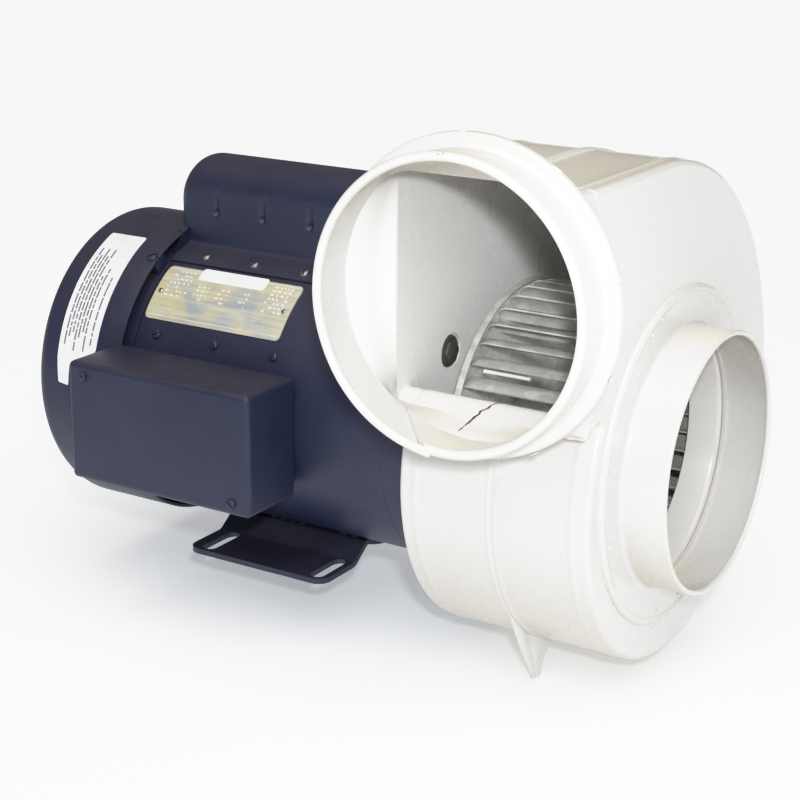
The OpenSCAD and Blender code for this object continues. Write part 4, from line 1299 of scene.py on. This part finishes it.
def plates():
    """The nameplate with plain ruled bars and a blank sticker, and the shroud's worn paper label."""
    plate_r = SHELL_R + 0.02 * MM
    outline = rounded([(-86, 33.6), (9.5, 33.6), (9.5, 59.2), (-86, 59.2)], 3, 4)
    plate = curved_patch("rating_plate", outline, plate_r, 0.6 * MM)
    finish_piece(plate, "nameplate_foil", replaces=["nameplate"])

    random.seed(11)
    face_r = SHELL_R + 0.62 * MM
    bars = []
    columns = ((-80, -64), (-60, -50), (-44, -36), (-27, -22), (-11, 4))
    for row, angle in enumerate((56.4, 54.4, 52.4, 50.4, 48.4, 46.4, 44.4)):
        for left, right in columns:
            if row < 3 and -64 < left < -14:
                continue
            at = left + random.uniform(0, 2)
            while at < right:
                end = min(at + random.uniform(0.9, 2.6), right)
                if random.random() < 0.72:
                    bars.append(ruled("bar", (at, end), (angle, angle + 0.8), face_r, 0.08 * MM))
                at = end + random.uniform(1.0, 1.9)
    for edge in (35.2, 57.9):
        bars.append(ruled("line", (-84, 7.5), (edge, edge + 0.25), face_r, 0.06 * MM))
    finish_piece(join("plate_rules", bars), "nameplate_foil", material=RULED_PLATE)

    sticker = rounded([(-62, 53.9), (-15, 53.9), (-15, 60.2), (-62, 60.2)], 2, 3)
    finish_piece(curved_patch("blank_sticker", sticker, face_r, 0.18 * MM), "label_paper")

    # The label's torn outline, and the softness of each of its corners
    label_r = SHROUD_R + 0.02 * MM
    torn = [(-135.5, 66.5), (-109, 66.5), (-108, 45), (-108, 17), (-109.5, 14), (-115, 13.2), (-118, 12),
            (-124, 11.6), (-126.5, 9.6), (-127, 1.8), (-134.5, 2.4), (-136, 12), (-136, 40)]
    outline = rounded(torn, [1.2, 1.5, 0, 1, 1, 0.5, 0.5, 1.5, 1.5, 0.8, 0.8, 0, 0], 3)
    label = curved_patch("cooling_label", outline, label_r, 0.25 * MM)
    finish_piece(label, "label_paper", replaces=["shroud_label"])
    ink = []
    ink_r = label_r + 0.25 * MM
    for row, y in enumerate((-132.6, -130.2, -127.8, -125.4, -123.0, -120.6, -118.2, -113.4)):
        angle = 57.5 - 3.5 * (row % 2) - (9 if row > 4 else 0)
        stop = 17.0 + 3 * (row % 3)
        while angle > stop:
            finish = max(stop - 2, angle - random.uniform(1.4, 6))
            ink.append(ruled("dash", (y, y + 1.2), (finish, angle), ink_r, 0.03 * MM, 1.2))
            angle = finish - random.uniform(0.35, 0.8)
    finish_piece(join("label_rules", ink), "label_paper", material=RULED_INK)


# ---------------------------------------------------------------- impeller

def impeller():
    """Forward-curved blades with rounded back corners, a rimmed back plate and a rolled end ring."""
    back, front = WHEEL_Y
    y0, y1 = back + 1.4 * MM, front - 1.0 * MM
    outer = WHEEL_R - 0.8 * MM
    across, along = 9, 16
    lead = 9.0
    corner = 7 * MM
    blade = []
    for k in range(along + 1):
        y = lerp(y0, y1, (1 - math.cos(math.pi * k / along)) / 2)
        e = y - y0
        drop = corner - math.sqrt(max(0.0, corner ** 2 - (corner - e) ** 2)) if e < corner else 0.0
        for i in range(across + 1):
            s = i / across
            curl = 0.35 if i == across else 0.0
            blade.append((lerp(EYE_R, outer - drop, s), lead * s * s - 3 * s + curl, y))
    one = grid_faces(along + 1, across + 1)
    verts, faces = [], []
    for k in range(BLADES):
        faces += [tuple(len(verts) + i for i in face) for face in one]
        verts += [about_shaft(r, k * 360 / BLADES - turn, y) for r, turn, y in blade]
    obj = solid(make("fan_blades", verts, faces), 0.9 * MM, 0.0)
    finish_piece(obj, "galvanised", "rotor", ["impeller_blades"], sharp=40)

    hole_r = 7.94 * MM
    t = 1.5 * MM
    r = WHEEL_R
    corners = [(hole_r, back), (r - 3 * MM, back), (r, back), (r, back + 4.2 * MM),
               (r - 1.0 * MM, back + 4.2 * MM), (r - 1.2 * MM, back + t), (hole_r, back + t)]
    profile = rounded(corners, [0, 0, 1.6 * MM, 0.4 * MM, 0.4 * MM, 0.8 * MM, 0], 4)
    finish_piece(lathe("fan_back", profile), "galvanised", "rotor", ["impeller_backplate"], sharp=40)

    eye = EYE_R + 1 * MM
    corners = [(eye, front - 1.2 * MM), (eye, front), (r, front), (r, front - 4 * MM),
               (r - 1 * MM, front - 4 * MM), (r - 1.2 * MM, front - 1.2 * MM)]
    profile = rounded(corners, [0.5 * MM, 0.5 * MM, 1.4 * MM, 0.4 * MM, 0.4 * MM, 0.6 * MM], 4)
    finish_piece(lathe("fan_end_ring", profile), "galvanised", "rotor", ["impeller_end_ring"], sharp=40)

    # A bent strip clipped over one blade to balance the wheel
    angle = 36.6
    inner, proud = r - 0.4 * MM, r + 0.7 * MM
    clip = [(inner, -0.6), (proud, -0.6), (proud, 0.6), (inner, 0.6)]
    verts = [about_shaft(rad, angle + turn, y) for y in (140 * MM, 167 * MM) for rad, turn in clip]
    faces = [(0, 1, 2, 3), (7, 6, 5, 4), (0, 1, 5, 4), (1, 2, 6, 5), (2, 3, 7, 6), (3, 0, 4, 7)]
    strip = bevel(make("balance_clip", verts, faces), 0.25 * MM, 2, 30)
    finish_piece(strip, "bright_steel", "rotor", material=BRIGHT_CLIP, sharp=30)


# ---------------------------------------------------------------- camera, light, floor

def camera():
    """Looks at the outlet side from the inlet end, a little above the motor."""
    place = Vector((0.88052, 0.59155, 0.41706))
    yaw, pitch, roll = (math.radians(a) for a in (31.75, -17.05, 0.59))
    forward = Vector((-math.cos(yaw) * math.cos(pitch), -math.sin(yaw) * math.cos(pitch), math.sin(pitch)))
    level = Vector((-math.sin(yaw), math.cos(yaw), 0))
    up = level.cross(forward)
    right = level * math.cos(roll) + up * math.sin(roll)
    top = up * math.cos(roll) - level * math.sin(roll)
    data = bpy.data.cameras.new("camera")
    data.sensor_width = 36
    data.lens = 83.83
    data.shift_y = -0.0213
    data.clip_start = 0.05
    data.clip_end = 60
    obj = bpy.data.objects.new("camera", data)
    bpy.context.scene.collection.objects.link(obj)
    turn = Matrix((right, top, -forward)).transposed().to_4x4()
    obj.matrix_world = Matrix.Translation(place) @ turn
    bpy.context.scene.camera = obj


def aim_light(data, place, target):
    """Puts a light at a place, looking at the target."""
    obj = bpy.data.objects.new(data.name, data)
    bpy.context.scene.collection.objects.link(obj)
    turn = (Vector(target) - place).to_track_quat("-Z", "Y").to_matrix().to_4x4()
    obj.matrix_world = Matrix.Translation(place) @ turn


def area_light(name, place, target, size, power, colour):
    """A round area light aimed at the target."""
    data = bpy.data.lights.new(name, "AREA")
    data.shape = "DISK"
    data.size = size
    data.energy = power
    data.color = colour
    aim_light(data, place, target)


def light():
    """A small flash above the camera, a beam into the outlet, a broad light overhead and a weak fill."""
    target = Vector((OUTLET_X[0], OUTLET_C.y, OUTLET_C.z))
    flash = Vector((0.800, 0.490, 0.345)).normalized()
    area_light("flash", target + flash * 0.98, target, 0.05, 5.4, (0.97, 0.985, 1.0))
    fill = Vector((0.2, 0.93, 0.31)).normalized()
    area_light("right_fill", target + fill * 1.7, target, 1.0, 0.9, (1.0, 0.98, 0.95))

    overhead = Vector((0.38, 0.24, 0.89)).normalized()
    sun = bpy.data.lights.new("overhead", "SUN")
    sun.energy = 2.25
    sun.angle = math.radians(60)
    sun.color = (1.0, 0.98, 0.94)
    aim_light(sun, target + overhead, target)

    beam = Vector((0.82, 0.49, 0.33)).normalized()
    spot = bpy.data.lights.new("outlet_beam", "SPOT")
    spot.energy = 31.0
    spot.spot_size = math.radians(9.6)
    spot.spot_blend = 0.35
    spot.shadow_soft_size = 0.045
    spot.color = (0.97, 0.985, 1.0)
    aim_light(spot, target + beam * 0.98, target)

    world = bpy.data.worlds.new("studio")
    world.use_nodes = True
    background = world.node_tree.nodes["Background"]
    background.inputs["Color"].default_value = (1.0, 0.95, 0.87, 1)
    background.inputs["Strength"].default_value = 0.22
    bpy.context.scene.world = world


def floor():
    """A pale ground that glows a little, just under the lowest point of the part."""
    s = Shader("pale_floor")
    s.set(Metallic=0.0, Roughness=0.9)
    s.colour(s.ramp(s.noise(3, 3), (0.3, (0.88, 0.90, 0.93)), (0.7, (0.90, 0.92, 0.95))))
    s.bsdf.inputs["Emission Color"].default_value = (0.93, 0.965, 1, 1)
    s.bsdf.inputs["Emission Strength"].default_value = 0.36
    z = cad_box[0][2] - 0.4 * MM
    size = 14.0
    verts = [Vector((x, y, z)) for x, y in ((-size, -size), (size, -size), (size, size), (-size, size))]
    obj = make("floor", verts, [(0, 1, 2, 3)])
    obj.data.materials.append(s.material)


def soft_highlights():
    """A plain transform with a short shoulder, so bright enamel keeps its shading."""
    settings = bpy.context.scene.view_settings
    settings.view_transform = "Standard"
    settings.use_curve_mapping = True
    mapping = settings.curve_mapping
    mapping.clip_max_x = 4.0
    curve = mapping.curves[3]
    curve.points[0].location = (0.0, 0.0)
    curve.points[1].location = (4.0, 1.0)
    for place in ((0.4, 0.41), (0.75, 0.745), (0.95, 0.875), (1.2, 0.95), (1.6, 1.0)):
        curve.points.new(*place)
    mapping.update()


# ---------------------------------------------------------------- put together

def paint_cad_nodes():
    """Every CAD node that stays gets the procedural material of its slot."""
    slots = {part["node"]: part["material_slot"] for part in frame["record"]["subparts"]}
    for name, obj in frame["nodes"].items():
        obj.data.materials.clear()
        obj.data.materials.append(MATERIALS[slots[name]])


paint_cad_nodes()
camera()
light()
floor()

housing_halves()
seam()
seam_point()
outlet_flare()
outlet_collar()
collar_nicks()
seam_gap_shade()
inlet_parts()
inlet_cone()
weld_dabs()
motor_shell()
shroud()
foot()
capacitor_cover()
terminal_box()
plates()
screws()
face_bolt_heads()
impeller()

soft_highlights()
